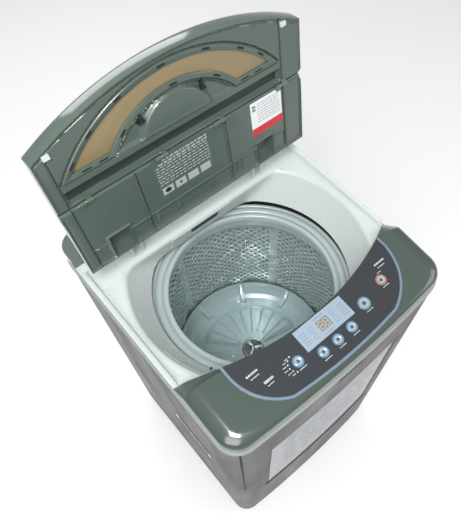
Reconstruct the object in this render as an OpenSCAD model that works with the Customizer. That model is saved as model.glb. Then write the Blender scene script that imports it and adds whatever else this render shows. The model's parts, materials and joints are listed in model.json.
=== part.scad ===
// Top load washing machine with a front console and a folding lid.
// Frame: floor at z = 0, +X to the right seen from the front, +Y to the back.

/* [Cabinet] */
// Width of the sheet steel cabinet
cabinet_w = 540; // [530:1:550]
// Depth of the cabinet at its corners
cabinet_d = 538; // [534:1:544]
// How far the front face bows forward at its middle
front_bow = 12; // [8:1:16]
// Plan radius of the cabinet's corners
corner_r = 40; // [34:1:44]
// Height of the cabinet sheet's top edge
cabinet_top = 905; // [903:1:907]
// Thickness of the cabinet sheet
sheet_t = 1.2; // [1:0.1:1.4]

/* [Console] */
// Height of the console's rear edge
console_top = 953; // [951:1:955]
// Plan radius of the arc where console and lid meet
arc_r = 570; // [565:1:580]
// Forward fall of the console's top, in degrees
console_tilt = 5.7; // [4:0.1:7]
// How far a push button travels
button_travel = 1.2; // [0.8:0.1:1.5]

/* [Lid] */
// Width of the lid
lid_w = 512; // [508:1:514]
// Thickness of the lid
lid_t = 34; // [32:1:35]
// Angle of the lid from closed as modelled, in degrees
lid_open = 98; // [90:1:100]
// Gap between the lid's front edge and the console
lid_gap = 4; // [3:1:5]

/* [Wash group] */
// Inner radius of the steel drum
drum_r = 206; // [204:1:207]
// Radius of the pulsator dish
pulsator_r = 200; // [196:1:201]
// Inner radius of the outer tub
tub_r = 232; // [230:1:234]
// Height of the outer tub's floor
tub_floor = 372; // [368:1:374]
// Height of the outer tub's rim
tub_top = 812; // [810:1:814]

/* [Hidden] */
$fn = 96;

half_w = cabinet_w / 2;
half_d = cabinet_d / 2;
rear_y = half_d;
steps_front = 12;
corner_step = 11.25;
floor_gap = 19;
arc_cy = 398;
frame_floor = cabinet_top + 9;
frame_rim = cabinet_top + 20;
funnel_low = 842;
funnel_low_r = 208;
funnel_top_r = 242;
rear_wall_y = 150;

// Foot, rod, button and fitting places
foot_x = 218;
foot_y = 215;
rod_x = 222;
rod_y = 212;
rod_r = 4;
button_places = [[-80, -219, 8.2], [-34, -235, 8.2], [2, -235, 8.2], [38, -234, 8.2], [88, -216, 10.2]];
power_place = [147, -203, 8.2];
display_place = [3, -197];
inlet_pos = [150, 850];
inlet_r = 13.2;
drain_pos = [-180, 95];
drain_r = 16;
gland_pos = [195, 760];
gland_bore_r = 4.2;
fitting_y = rear_y + front_bow + 2;

// Lid lines, all with the lid closed
pivot_y = 170;
pivot_z = 958;
pivot_x = 155;
pivot_pin_r = 3;
lid_rear_y = 148;
lid_low = console_top - lid_t - 1;
lid_top = console_top - 1;
lid_skin = 2.5;
lid_front_r = arc_r - lid_gap;
fold_z = lid_low + 3;
fold_gap = 1.2;
fold_pin_r = 2;
fold_places = [-208, -62, 62, 208];
liner_z = lid_low + 5;
window_x = -12;
window_out_r = 266;
window_out_cy = 123;
window_in_r = 165;
window_in_cy = 48;
window_foot_y = -58;
cup_w = 136;
cup_y = -74;
cup_d = 44;

// Drive line heights
pulley_r = 95;
pulley_z = 184;
pulley_h = 20;
motor_x = 165;
motor_r = 60;
motor_pulley_r = 22;
shaft_r = 9;
spin_shaft_r = 16;
run_gap = 0.05;
motor_shaft_r = 8;

// Footprint outline, moved inwards by inset
function bowed(x, y) = [x, y - front_bow * (1 - pow(x / half_w, 2))];
function plan(inset) =
  let (w = half_w - inset, d = half_d - inset, r = max(corner_r - inset, 2))
  concat(
    [for (a = [0 : corner_step : 90]) [w - r + r * cos(a), d - r + r * sin(a)]],
    [for (a = [90 : corner_step : 180]) [-w + r + r * cos(a), d - r + r * sin(a)]],
    [for (a = [180 : corner_step : 270]) bowed(-w + r + r * cos(a), -d + r + r * sin(a))],
    [for (i = [1 : steps_front - 1]) bowed(-w + r + 2 * (w - r) * i / steps_front, -d)],
    [for (a = [270 : corner_step : 360]) bowed(w - r + r * cos(a), -d + r + r * sin(a))]);

// Height of the console's sloping top above a place on it
function console_z(y) = console_top + tan(console_tilt) * (y + 170);

module slab(inset, z0, z1) {
  translate([0, 0, z0]) linear_extrude(z1 - z0) polygon(plan(inset));
}

module band(outer, inner, z0, z1) {
  translate([0, 0, z0]) linear_extrude(z1 - z0) difference() {
    polygon(plan(outer));
    polygon(plan(inner));
  }
}

module disc(r, z0, z1) {
  translate([0, 0, z0]) cylinder(r = r, h = z1 - z0);
}

module ring(ro, ri, z0, z1) {
  difference() {
    disc(ro, z0, z1);
    disc(ri, z0 - 1, z1 + 1);
  }
}

module block(x0, x1, y0, y1, z0, z1) {
  translate([x0, y0, z0]) cube([x1 - x0, y1 - y0, z1 - z0]);
}

module along_y(x, z, r, y0, y1) {
  translate([x, y0, z]) rotate([-90, 0, 0]) cylinder(r = r, h = y1 - y0);
}

module along_x(y, z, r, x0, x1) {
  translate([x0, y, z]) rotate([0, 90, 0]) cylinder(r = r, h = x1 - x0);
}

module at_corners(x, y) {
  for (sx = [0, 1], sy = [0, 1]) mirror([sx, 0, 0]) mirror([0, sy, 0]) translate([x, y, 0]) children();
}

module on_console(p, lift = 0) {
  translate([p[0], p[1], console_z(p[1])]) rotate([console_tilt, 0, 0]) translate([0, 0, lift]) children();
}

module lid_pose() {
  translate([0, pivot_y, pivot_z]) rotate([-lid_open, 0, 0]) translate([0, -pivot_y, -pivot_z]) children();
}

// ---- Cabinet ----

module cabinet_shell() {
  color("dimgray") difference() {
    union() {
      band(0, sheet_t, floor_gap, cabinet_top);
      band(0, 18, floor_gap, floor_gap + sheet_t);
      band(0, 14, cabinet_top - sheet_t, cabinet_top);
    }
    block(-204, 204, rear_y - 12, rear_y + 5, 60, 885);
    for (s = [-1, 1]) block(s * half_w - 5, s * half_w + 5, -165, -45, 545, 579);
  }
}

module rear_panel() {
  color("silver") difference() {
    union() {
      block(-212, 212, rear_y, rear_y + sheet_t, 48, 896);
      for (z = [180 : 130 : 700]) block(-170, 150, rear_y + sheet_t, rear_y + 4, z, z + 26);
    }
    along_y(inlet_pos[0], inlet_pos[1], inlet_r + 1.5, rear_y - 5, rear_y + 9);
    along_y(drain_pos[0], drain_pos[1], drain_r + 1.5, rear_y - 5, rear_y + 9);
    along_y(gland_pos[0], gland_pos[1], 8.2, rear_y - 5, rear_y + 9);
    rear_screw_places() along_y(0, 0, 2.2, rear_y - 5, rear_y + 9);
  }
}

module rear_screw_places() {
  for (x = [-206, 206], z = [60, 330, 600, 886]) translate([x, 0, z]) children();
}

module case_screws() {
  color("gainsboro") rear_screw_places() {
    along_y(0, 0, 4, rear_y + sheet_t, rear_y + sheet_t + 2.4);
    along_y(0, 0, 1.9, rear_y, rear_y + sheet_t);
  }
}

module base_frame() {
  color("darkslategray") difference() {
    union() {
      band(0.5, 46, 12, 18.8);
      band(30, 32.5, 18.8, 58);
      intersection() {
        slab(0.5, 12, 18.8);
        at_corners(foot_x - 50, foot_y - 50) cube([120, 120, 30]);
      }
    }
    at_corners(foot_x, foot_y) disc(5.4, 0, 30);
  }
}

module foot(pad_top, stem_top) {
  difference() {
    disc(24, 0, pad_top);
    for (a = [0 : 60 : 300]) rotate([0, 0, a]) translate([18, -2, -1]) cube([10, 4, 4]);
  }
  disc(5, pad_top, stem_top);
}

module fixed_feet() {
  color("black") for (p = [[1, 1], [-1, 1], [-1, -1]]) translate([p[0] * foot_x, p[1] * foot_y, 0]) foot(12, 40);
}

module levelling_foot() {
  color("black") translate([foot_x, -foot_y, 0]) foot(10, 62);
}

module foot_lock_nut() {
  color("silver") translate([foot_x, -foot_y, 0]) difference() {
    translate([0, 0, 18.9]) cylinder(d = 19.6, h = 6, $fn = 6);
    disc(5 + run_gap, 10, 40);
  }
}

module side_grips() {
  color("dimgray") for (s = [-1, 1]) mirror([s < 0 ? 1 : 0, 0, 0]) translate([half_w, -105, 562]) difference() {
    union() {
      block(-15, -sheet_t, -59, 59, -16, 16);
      block(0, 1.6, -65, 65, -22, 22);
      block(-sheet_t, 0, -59, 59, -16, 16);
    }
    block(-13, 5, -56, 56, -13, 13);
  }
}

// ---- Suspension ----

module suspension_brackets() {
  color("silver") intersection() {
    slab(sheet_t + 0.2, 872, 876);
    difference() {
      at_corners(rod_x - 26, rod_y - 18) translate([0, 0, 870]) cube([90, 90, 8]);
      at_corners(rod_x, rod_y) disc(6, 860, 890);
    }
  }
}

module suspension_rods() {
  color("gainsboro") at_corners(rod_x, rod_y) {
    disc(rod_r, 330, 880);
    translate([0, 0, 883]) sphere(r = 9);
    disc(13, 326, 330);
  }
}

module suspension_springs() {
  color("gray") at_corners(rod_x, rod_y) ring(11, 7, 330, 386);
}

module suspension_cups() {
  color("white") at_corners(rod_x, rod_y) difference() {
    disc(15, 386, 394);
    disc(5.5, 380, 400);
  }
}

// ---- Top frame ----

module funnel_space(grow) {
  intersection() {
    translate([0, 0, funnel_low])
      cylinder(r1 = funnel_low_r + grow, r2 = funnel_top_r + grow, h = cabinet_top - funnel_low);
    rotate([rear_wall_lean(), 0, 0]) translate([-300, -400 + grow, -200])
      cube([600, 400 + rear_plane(), 1400]);
  }
}

// Lean of the flat rear wall and its distance from the leaning frame's origin
function rear_wall_lean() = 17;
function rear_plane() = rear_wall_y * cos(rear_wall_lean()) + cabinet_top * sin(rear_wall_lean());

module top_frame() {
  color("aliceblue") difference() {
    union() {
      band(-2, -0.4, cabinet_top - 8, cabinet_top + 1);
      slab(-2, cabinet_top + 0.2, cabinet_top + 7);
      slab(1, cabinet_top + 6, frame_floor);
      difference() {
        slab(1, frame_floor - 1, frame_rim);
        block(-lid_w / 2 - 3, lid_w / 2 + 3, -600, 190, frame_floor, frame_rim + 10);
        block(-300, 300, -600, -104, frame_floor, frame_rim + 10);
      }
      funnel_space(2.6);
      for (s = [-1, 1], t = [-1, 1]) hinge_post(s * pivot_x + t * 11);
    }
    funnel_space(0);
    translate([0, 0, cabinet_top - 1]) linear_extrude(40) intersection() {
      circle(r = funnel_top_r);
      translate([-300, -400]) square([600, 400 + rear_wall_y]);
    }
    translate([0, 0, funnel_low - 10]) cylinder(r = funnel_low_r, h = 10);
    for (s = [-1, 1]) along_x(pivot_y, pivot_z, pivot_pin_r + run_gap, s * pivot_x - 30, s * pivot_x + 30);
  }
}

module hinge_post(x) {
  along_x(pivot_y, pivot_z, 9, x - 3, x + 3);
  block(x - 3, x + 3, pivot_y - 9, pivot_y + 12, frame_floor - 2, pivot_z);
}

module rear_deck_cover() {
  color("dimgray") difference() {
    intersection() {
      slab(1, frame_rim, console_top - 2);
      union() {
        block(-300, 300, 206, 300, frame_rim, console_top - 2);
        along_x(218, console_top - 14, 12, -300, 300);
      }
    }
    intersection() {
      slab(3.5, frame_rim - 1, console_top - 5);
      block(-300, 300, 209, 300, frame_rim - 1, console_top - 5);
    }
  }
}

// ---- Console ----

module console_solid(inset) {
  difference() {
    intersection() {
      slab(1 + inset, frame_floor, console_top + 5);
      rotate([90, 0, 90]) translate([0, 0, -300]) linear_extrude(600) polygon([
        [-90, frame_floor],
        [-90, console_z(-90) - inset],
        [-272 + inset, console_z(-272) - inset],
        [-277 + inset, console_z(-272) - 3 - inset],
        [-280 + inset, console_z(-272) - 9 - inset],
        [-283 + inset, frame_floor]]);
    }
    translate([0, arc_cy, frame_floor - 1]) cylinder(r = arc_r + inset, h = 100, $fn = 180);
  }
}

module console_cover() {
  color("dimgray") difference() {
    console_solid(0);
    translate([0, 0, -0.01]) console_solid(2.6);
    console_holes(0.4);
    on_console(display_place) translate([-13.2, -10.2, -8]) cube([26.4, 20.4, 16]);
  }
}

module console_holes(gap) {
  for (b = concat(button_places, [power_place])) on_console(b, -12) cylinder(r = b[2] + gap, h = 30);
}

// Lens outline: round cornered at the front, following the lid's arc at the back
module lens_outline(grow, rear_gap) {
  difference() {
    intersection() {
      union() {
        translate([-187 - grow, -162]) square([391 + 2 * grow, 126]);
        translate([-83, -266 - grow]) square([169, 160]);
        translate([-83, -162]) circle(r = 104 + grow);
        translate([86, -148]) circle(r = 118 + grow);
      }
      translate([8, 780]) circle(r = 1046 + grow, $fn = 240);
    }
    translate([0, arc_cy]) circle(r = arc_r + rear_gap, $fn = 180);
  }
}

module on_top(z0, z1) {
  translate([0, -170, console_top]) rotate([console_tilt, 0, 0]) translate([0, 170, z0])
    linear_extrude(z1 - z0) children();
}

module control_overlay() {
  color("darkslategray") difference() {
    on_top(0, 1.4) lens_outline(0, 2.5);
    console_holes(0.4);
    on_console(display_place) translate([-13.2, -10.2, -8]) cube([26.4, 20.4, 16]);
    for (b = button_places) on_console(b, -4) cylinder(r = b[2] + 2.6, h = 12);
    on_console(power_place, -4) cylinder(r = power_place[2] + 2.9, h = 12);
  }
}

module overlay_trim() {
  color("lightsteelblue") on_top(0, 1.8) difference() {
    lens_outline(5, 2);
    lens_outline(0.1, -8);
  }
}

module display_plate() {
  color("lightsteelblue") on_console(display_place) difference() {
    translate([-58, -22, 1.4]) cube([116, 44, 1.2]);
    translate([-13.2, -10.2, -8]) cube([26.4, 20.4, 16]);
  }
}

module display_window() {
  color("gray") on_console(display_place) translate([-13, -10, -1.5]) cube([26, 20, 3.7]);
}

module button_rings() {
  color("steelblue") for (b = button_places) on_console(b) difference() {
    translate([0, 0, 0.1]) cylinder(r = b[2] + 2.5, h = 2.2);
    translate([0, 0, -2]) cylinder(r = b[2] + 0.4, h = 8);
  }
}

module power_ring() {
  color("sandybrown") on_console(power_place) difference() {
    translate([0, 0, 0.1]) cylinder(r = power_place[2] + 2.8, h = 2.4);
    translate([0, 0, -2]) cylinder(r = power_place[2] + 0.4, h = 8);
  }
}

module push_button(b) {
  on_console(b) {
    translate([0, 0, -4]) cylinder(r = b[2], h = 7.4);
    translate([0, 0, -10]) cylinder(r = 2.6, h = 7);
    translate([0, 0, -5]) cylinder(r = b[2] + 1.2, h = 1.6);
  }
}

module button_program() { color("white") push_button(button_places[0]); }
module button_wash() { color("white") push_button(button_places[1]); }
module button_rinse() { color("white") push_button(button_places[2]); }
module button_spin() { color("white") push_button(button_places[3]); }
module button_start() { color("white") push_button(button_places[4]); }
module button_power() { color("white") push_button(power_place); }

module control_board() {
  color("darkgreen") {
    on_console([20, -215]) translate([-130, -36, -17]) cube([280, 62, 1.6]);
    for (b = concat(button_places, [power_place]))
      on_console(b) translate([-3, -3, -15.4]) cube([6, 6, 5.3 - button_travel]);
  }
}

module board_housing() {
  color("whitesmoke") on_console([20, -215]) difference() {
    translate([-136, -42, -25]) cube([292, 74, 14]);
    translate([-133, -39, -22]) cube([286, 68, 14]);
  }
}

// ---- Water fittings ----

module inlet_box() {
  color("whitesmoke") {
    difference() {
      block(-70, 70, 176, 232, 860, 902);
      block(-67, 67, 170, 229, 863, 899);
    }
    difference() {
      along_x(215, 880, 8, 70, 84);
      along_x(215, 880, 5.5, 60, 90);
    }
  }
}

module inlet_grille() {
  color("slategray") rotate([rear_wall_lean(), 0, 0]) translate([-34, rear_plane() - 1.8, 0]) difference() {
    translate([0, 0, 786]) cube([68, 1.8, 24]);
    for (i = [0 : 9]) translate([4 + i * 6.2, -1, 790]) cube([3.4, 4, 16]);
  }
}

module inlet_valve() {
  color("whitesmoke") {
    difference() {
      union() {
        block(127, 173, 196, 240, 838, 894);
        along_y(inlet_pos[0], inlet_pos[1], inlet_r + 5, 240, 266);
        along_y(inlet_pos[0], inlet_pos[1], inlet_r, 266, fitting_y);
        along_x(215, 880, 8, 117, 127);
      }
      along_y(inlet_pos[0], inlet_pos[1], 8, 250, 300);
      along_x(215, 880, 5, 110, 134);
    }
  }
}

module inlet_hose() {
  color("dimgray") difference() {
    along_x(215, 880, 11, 74, 127);
    along_x(215, 880, 8.2, 70, 130);
  }
}

module pressure_switch() {
  color("ivory") translate([-140, 222, 0]) {
    disc(24, 852, 872);
    disc(10, 872, 880);
    disc(3, 836, 852);
    block(-30, 30, 14, 20, 862, 904.8);
  }
}

module lid_switch() {
  color("dimgray") {
    block(100, 120, 176, 192, 872, 904.8);
    block(106, 114, 168, 176, 884, 888);
  }
}

module cord_gland() {
  color("black") difference() {
    union() {
      along_y(gland_pos[0], gland_pos[1], 8, 262, 270.2);
      along_y(gland_pos[0], gland_pos[1], 11.5, 270.2, 274);
      translate([gland_pos[0], 274, gland_pos[1]]) rotate([-90, 0, 0]) cylinder(r1 = 9, r2 = 7, h = 8);
    }
    along_y(gland_pos[0], gland_pos[1], gland_bore_r, 255, 290);
  }
}

module drain_spigot() {
  color("dimgray") difference() {
    union() {
      along_y(drain_pos[0], drain_pos[1], drain_r, 215, fitting_y);
      along_y(drain_pos[0], drain_pos[1], 22, 262, 268.8);
      translate([drain_pos[0], 215, drain_pos[1]]) sphere(r = drain_r);
      translate([drain_pos[0], 215, 0]) disc(drain_r, drain_pos[1], 120);
    }
    along_y(drain_pos[0], drain_pos[1], drain_r - 3, 215, 300);
    translate([drain_pos[0], 215, 0]) disc(drain_r - 3, drain_pos[1], 130);
  }
}

module drain_hose() {
  color("gray") translate([drain_pos[0], 215, 0]) ring(drain_r + 4, drain_r + 1, 112, 330);
}

module drain_valve() {
  color("whitesmoke") {
    translate([-130, 130, 0]) disc(28, 326, tub_floor);
    difference() {
      union() {
        along_y(-130, 345, drain_r - 2, 130, 215);
        along_x(215, 345, drain_r - 2, drain_pos[0], -130);
        translate([-130, 215, 345]) sphere(r = drain_r - 2);
        translate([drain_pos[0], 215, 345]) sphere(r = drain_r - 2);
        translate([drain_pos[0], 215, 0]) disc(drain_r - 2, 318, 345);
      }
      translate([drain_pos[0], 215, 0]) disc(drain_r - 5, 300, 345);
    }
    block(-100, -40, 112, 148, 322, 366);
  }
}

// ---- Tub ----

module outer_tub() {
  color("whitesmoke") difference() {
    union() {
      rotate_extrude() polygon([
        [34, tub_floor], [tub_r + 4, tub_floor], [tub_r + 4, tub_top - 4], [246, tub_top - 4],
        [246, tub_top], [tub_r, tub_top], [tub_r, tub_floor + 4], [40, tub_floor + 4],
        [40, tub_floor + 12], [34, tub_floor + 12]]);
      for (sx = [-1, 1], sy = [-1, 1]) rotate([0, 0, sx * sy * atan(rod_y / rod_x) + (sx < 0 ? 180 : 0)])
        translate([tub_r + 2, -20, 394]) cube([86, 40, 9]);
    }
    at_corners(rod_x, rod_y) disc(5.5, 380, 420);
  }
}

module tub_cover() {
  color("lightsteelblue") rotate_extrude() polygon([
    [176, 812], [176, 824], [179, 826.5], [184, 826.5], [240, 821], [249, 818], [250, 814],
    [250, 804], [247.4, 804], [247.4, tub_top], [240, tub_top], [240, 817], [181, 823], [179, 821],
    [179, 812]]);
}

module clutch_housing() {
  color("silver") rotate_extrude() polygon([
    [shaft_r + run_gap, 215], [38, 215], [38, 238], [58, 242], [58, 338], [74, 338], [74, 345.8],
    [32, 345.8], [32, 378], [spin_shaft_r + run_gap, 378], [spin_shaft_r + run_gap, 326],
    [46, 326], [46, 262], [shaft_r + run_gap, 262]]);
}

module drive_bracket() {
  color("slategray") {
    difference() {
      block(-90, 236, -74, 74, 346, 350);
      disc(59, 340, 360);
    }
    for (s = [-1, 1]) block(-150, 205, s * 62 - 12, s * 62 + 12, 350, tub_floor);
  }
}

module at_motor() {
  translate([motor_x, 0, 0]) children();
}

module motor_frame() {
  color("gray") at_motor() difference() {
    disc(motor_r, 228, 346);
    disc(motor_r - 4, 232, 340);
    disc(motor_shaft_r + run_gap, 220, 350);
  }
}

module motor_stator() {
  color("peru") at_motor() {
    ring(motor_r - 4.2, 33, 256, 312);
    ring(50, 36, 244, 256);
    ring(50, 36, 312, 324);
  }
}

module motor_rotor() {
  color("silver") at_motor() {
    disc(32, 258, 310);
    disc(motor_shaft_r, 180, 338);
    rotate_extrude() polygon([
      [motor_shaft_r - 1, pulley_z + 2], [motor_pulley_r, pulley_z + 2], [motor_pulley_r, pulley_z + 5],
      [16, pulley_z + 5], [16, pulley_z + 15.6], [motor_pulley_r, pulley_z + 15.6],
      [motor_pulley_r, pulley_z + 18.6], [motor_shaft_r - 1, pulley_z + 18.6]]);
  }
}

module drive_pulley() {
  color("silver") {
    difference() {
      rotate_extrude() polygon([
        [76, pulley_z + 2], [pulley_r, pulley_z + 2], [pulley_r, pulley_z + 5], [89, pulley_z + 5],
        [89, pulley_z + 15.6], [pulley_r, pulley_z + 15.6], [pulley_r, pulley_z + 18.6],
        [76, pulley_z + 18.6]]);
    }
    for (a = [0 : 60 : 300]) rotate([0, 0, a]) translate([18, -7, pulley_z + 6]) cube([60, 14, 9]);
    disc(22, pulley_z, pulley_z + pulley_h);
    disc(shaft_r, pulley_z + pulley_h - 1, 290);
  }
}

module belt_outline(r_big, r_small) {
  hull() {
    circle(r = r_big);
    translate([motor_x, 0]) circle(r = r_small);
  }
}

module drive_belt() {
  color("black") translate([0, 0, pulley_z + 6]) linear_extrude(8.6) difference() {
    belt_outline(94.5, 21.5);
    belt_outline(89.6, 16.6);
  }
}

// ---- Basket ----

module basket_drum() {
  color("lightgray") ring(drum_r + 1.2, drum_r, 404, 752);
}

module balance_ring() {
  color("lightsteelblue") rotate_extrude() polygon([
    [drum_r - 2, 752.2], [drum_r + 10, 752.2], [drum_r + 10, 800], [drum_r + 6, 806], [188, 806],
    [183, 801], [185, 780], [194, 760]]);
}

module basket_hub() {
  color("whitesmoke") rotate_extrude() polygon([
    [shaft_r + run_gap, 342], [spin_shaft_r, 342], [spin_shaft_r, 388], [60, 388], [96, 396],
    [drum_r - 6, 398], [drum_r - 0.2, 404], [drum_r - 0.2, 424], [drum_r - 3, 424],
    [drum_r - 6, 404], [92, 402], [60, 402], [24, 410], [shaft_r + run_gap, 410]]);
}

module pulsator() {
  color("lightsteelblue") {
    rotate_extrude() polygon([
      [shaft_r, 428], [24, 428], [26, 444], [140, 432], [168, 430], [196, 450], [pulsator_r, 470],
      [pulsator_r - 3, 470], [193, 452], [166, 434], [142, 436], [130, 441], [36, 452], [shaft_r, 452]]);
    for (a = [0 : 120 : 240]) rotate([0, 0, a]) translate([36, -6, 440]) cube([98, 12, 16]);
    for (a = [20 : 40 : 380]) rotate([0, 0, a]) translate([172, -7, 437]) cube([14, 14, 14]);
  }
}

module pulsator_cap() {
  color("gainsboro") rotate_extrude() polygon([
    [0, 453.2], [31, 452.2], [31, 458], [26, 463], [14, 466], [0, 467]]);
}

module wash_shaft() {
  color("silver") disc(shaft_r, 300, 452);
}

// ---- Lid, drawn closed and then swung open about its pins ----

module rear_plan(inset) {
  translate([-lid_w / 2 + inset, fold_gap + inset])
    square([lid_w - 2 * inset, lid_rear_y - fold_gap - 2 * inset]);
}

module front_plan(inset) {
  intersection() {
    translate([-lid_w / 2 + inset, -230]) square([lid_w - 2 * inset, 230 - fold_gap - inset]);
    translate([0, arc_cy]) circle(r = lid_front_r - inset, $fn = 180);
  }
}

module lift(z0, z1) {
  translate([0, 0, z0]) linear_extrude(z1 - z0) children();
}

// Space kept free round the fold line, so that the panels can close on each other
module fold_space() {
  along_x(0, fold_z, 4.8, -300, 300);
  block(-300, 300, -9.5, 9.5, lid_low - 1, fold_z);
}

module knuckle(x0, x1, side) {
  along_x(0, fold_z, 4.2, x0, x1);
  translate([x0, min(side * 6, 0), fold_z + 2]) cube([x1 - x0, 6, 2.2]);
}

module lid_rear_panel() {
  color("slategray") lid_pose() {
    difference() {
      union() {
        difference() {
          lift(lid_low, lid_top) rear_plan(0);
          lift(liner_z + 2.5, lid_top - lid_skin) rear_plan(lid_skin);
          lift(lid_low - 1, liner_z) rear_plan(lid_skin);
          fold_space();
        }
        for (x = fold_places) knuckle(x - 13, x - 0.6, 1);
        for (s = [-1, 1]) {
          block(s * pivot_x - 6.5, s * pivot_x + 6.5, lid_rear_y - 2, pivot_y, lid_top - 10, lid_top);
          along_x(pivot_y, pivot_z, 7, s * pivot_x - 6.5, s * pivot_x + 6.5);
        }
      }
      along_x(0, fold_z, fold_pin_r + run_gap, -300, 300);
      for (s = [-1, 1])
        along_x(pivot_y, pivot_z, pivot_pin_r + run_gap, s * pivot_x - 20, s * pivot_x + 20);
    }
  }
}

module fold_pins() {
  color("gainsboro") lid_pose() for (x = fold_places) along_x(0, fold_z, fold_pin_r, x - 13, x + 13);
}

module lid_hinge_pins() {
  color("gainsboro") for (s = [-1, 1]) {
    along_x(pivot_y, pivot_z, pivot_pin_r, s * pivot_x - 16, s * pivot_x + 16);
  }
}

module window_plan(grow) {
  difference() {
    intersection() {
      translate([window_x, window_out_cy]) circle(r = window_out_r + grow, $fn = 180);
      translate([-260, -300]) square([520, 300 + window_foot_y + grow]);
    }
    translate([window_x, window_in_cy]) circle(r = window_in_r - grow, $fn = 180);
  }
}

module cup_plan(grow) {
  translate([window_x - cup_w / 2 - grow, cup_y - cup_d / 2 - grow])
    square([cup_w + 2 * grow, cup_d + 2 * grow]);
}

module lid_front_panel() {
  color("slategray") lid_pose() difference() {
    union() {
      difference() {
        lift(lid_low, lid_top) front_plan(0);
        difference() {
          lift(liner_z + 2.5, lid_top - lid_skin) front_plan(lid_skin);
          lift(lid_low, lid_top) window_plan(3);
          lift(lid_low, lid_top) cup_plan(3);
        }
        lift(lid_low - 1, liner_z) front_plan(lid_skin);
        fold_space();
      }
      for (x = fold_places) knuckle(x + 0.6, x + 13, -1);
    }
    lift(lid_low - 1, lid_top + 1) window_plan(0);
    lift(lid_low - 1, lid_top + 1) cup_plan(0);
    along_x(0, fold_z, fold_pin_r + run_gap, -300, 300);
  }
}

module lid_window() {
  color("goldenrod") lid_pose() lift(liner_z + 3, liner_z + 7) window_plan(-0.2);
}

module handle_cup() {
  color("slategray") lid_pose() difference() {
    lift(liner_z - 3, lid_top - 0.5) cup_plan(-0.2);
    lift(liner_z, lid_top + 1) cup_plan(-3);
  }
}

cabinet_shell();
rear_panel();
case_screws();
base_frame();
fixed_feet();
levelling_foot();
foot_lock_nut();
side_grips();
suspension_brackets();
suspension_rods();
suspension_springs();
suspension_cups();
top_frame();
rear_deck_cover();
console_cover();
control_overlay();
overlay_trim();
display_plate();
display_window();
button_rings();
power_ring();
button_program();
button_wash();
button_rinse();
button_spin();
button_start();
button_power();
control_board();
board_housing();
inlet_box();
inlet_grille();
inlet_valve();
inlet_hose();
pressure_switch();
lid_switch();
cord_gland();
drain_spigot();
drain_hose();
outer_tub();
tub_cover();
clutch_housing();
drive_bracket();
motor_frame();
motor_stator();
drain_valve();
drive_belt();
basket_drum();
balance_ring();
basket_hub();
pulsator();
pulsator_cap();
wash_shaft();
drive_pulley();
motor_rotor();
lid_rear_panel();
fold_pins();
lid_hinge_pins();
lid_front_panel();
lid_window();
handle_cup();
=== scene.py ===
import json
import math
import random

import bpy
from mathutils import Matrix, Vector


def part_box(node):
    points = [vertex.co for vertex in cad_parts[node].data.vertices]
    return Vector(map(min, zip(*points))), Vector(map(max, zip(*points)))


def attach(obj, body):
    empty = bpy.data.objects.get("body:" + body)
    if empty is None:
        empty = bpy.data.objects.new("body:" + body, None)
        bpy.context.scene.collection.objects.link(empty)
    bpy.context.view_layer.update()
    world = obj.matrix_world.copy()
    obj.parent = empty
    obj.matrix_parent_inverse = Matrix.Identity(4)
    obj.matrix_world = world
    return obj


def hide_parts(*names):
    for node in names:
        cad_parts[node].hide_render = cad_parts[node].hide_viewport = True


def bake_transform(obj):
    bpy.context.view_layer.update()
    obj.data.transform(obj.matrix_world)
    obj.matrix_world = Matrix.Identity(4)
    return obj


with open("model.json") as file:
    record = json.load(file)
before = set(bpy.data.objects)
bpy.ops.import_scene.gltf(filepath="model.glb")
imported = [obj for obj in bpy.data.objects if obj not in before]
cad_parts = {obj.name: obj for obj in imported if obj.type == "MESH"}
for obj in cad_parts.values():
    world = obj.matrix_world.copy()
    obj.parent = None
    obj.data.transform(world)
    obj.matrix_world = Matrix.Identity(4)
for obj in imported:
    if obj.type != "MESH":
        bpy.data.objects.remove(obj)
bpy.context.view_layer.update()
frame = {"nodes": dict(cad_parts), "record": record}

# ---- Sizes, in millimetres, read from the frame ----
MM = 0.001


def box_mm(node):
    low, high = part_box(node)
    return low / MM, high / MM


cabinet_low, cabinet_high = box_mm("cabinet_shell")
HALF_W = cabinet_high.x
HALF_D = cabinet_high.y
FRONT_BOW = -cabinet_low.y - HALF_D
CORNER_R = 40.0
SKIRT_Z = cabinet_low.z
SHELL_TOP = cabinet_high.z
DECK_Z = SHELL_TOP + 9
RIM_Z = SHELL_TOP + 20
ARC_CY = 398.0
ARC_R = 570.0
CONSOLE_TILT = math.radians(5.7)
CONSOLE_TOP = 953.0
pins_low, pins_high = box_mm("lid_hinge_pins")
PIVOT_Y = (pins_low.y + pins_high.y) / 2
PIVOT_Z = (pins_low.z + pins_high.z) / 2
PIN_REACH = pins_high.x - 16 - (pins_high.x + pins_low.x) / 2
LID_ANGLE = math.radians(-98)
LID_HALF = box_mm("lid_rear_panel")[1].x
LID_LOW = 918.0
LID_TOP = 952.0
LINER_Z = LID_LOW + 5
LID_REAR_Y = 148.0
FOLD_Y = 0.0
FOLD_Z = 921.0
FOLD_PLACES = (-208, -62, 62, 208)
FOLD_SWEEP_R = 4.8
FOLD_GAP = 1.2
LID_FRONT_R = ARC_R - 4
GROOVE_LEFT, GROOVE_RIGHT = -234.0, 212.0
RIBS = (-118, 72)
HINGE_POCKETS = (-180, 158)
window_low, window_high = box_mm("lid_window")
WINDOW_X = (window_low.x + window_high.x) / 2
WINDOW_OUT = (123.0, 266.0)
WINDOW_IN = (48.0, 165.0)
WINDOW_FOOT = -58.0
drum_low, drum_high = box_mm("basket_drum")
DRUM_R = drum_high.x - 1.2
PULSATOR_R = box_mm("pulsator")[1].x

opened = (Matrix.Translation((0, PIVOT_Y, PIVOT_Z)) @ Matrix.Rotation(LID_ANGLE, 4, "X")
          @ Matrix.Translation((0, -PIVOT_Y, -PIVOT_Z)))


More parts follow.
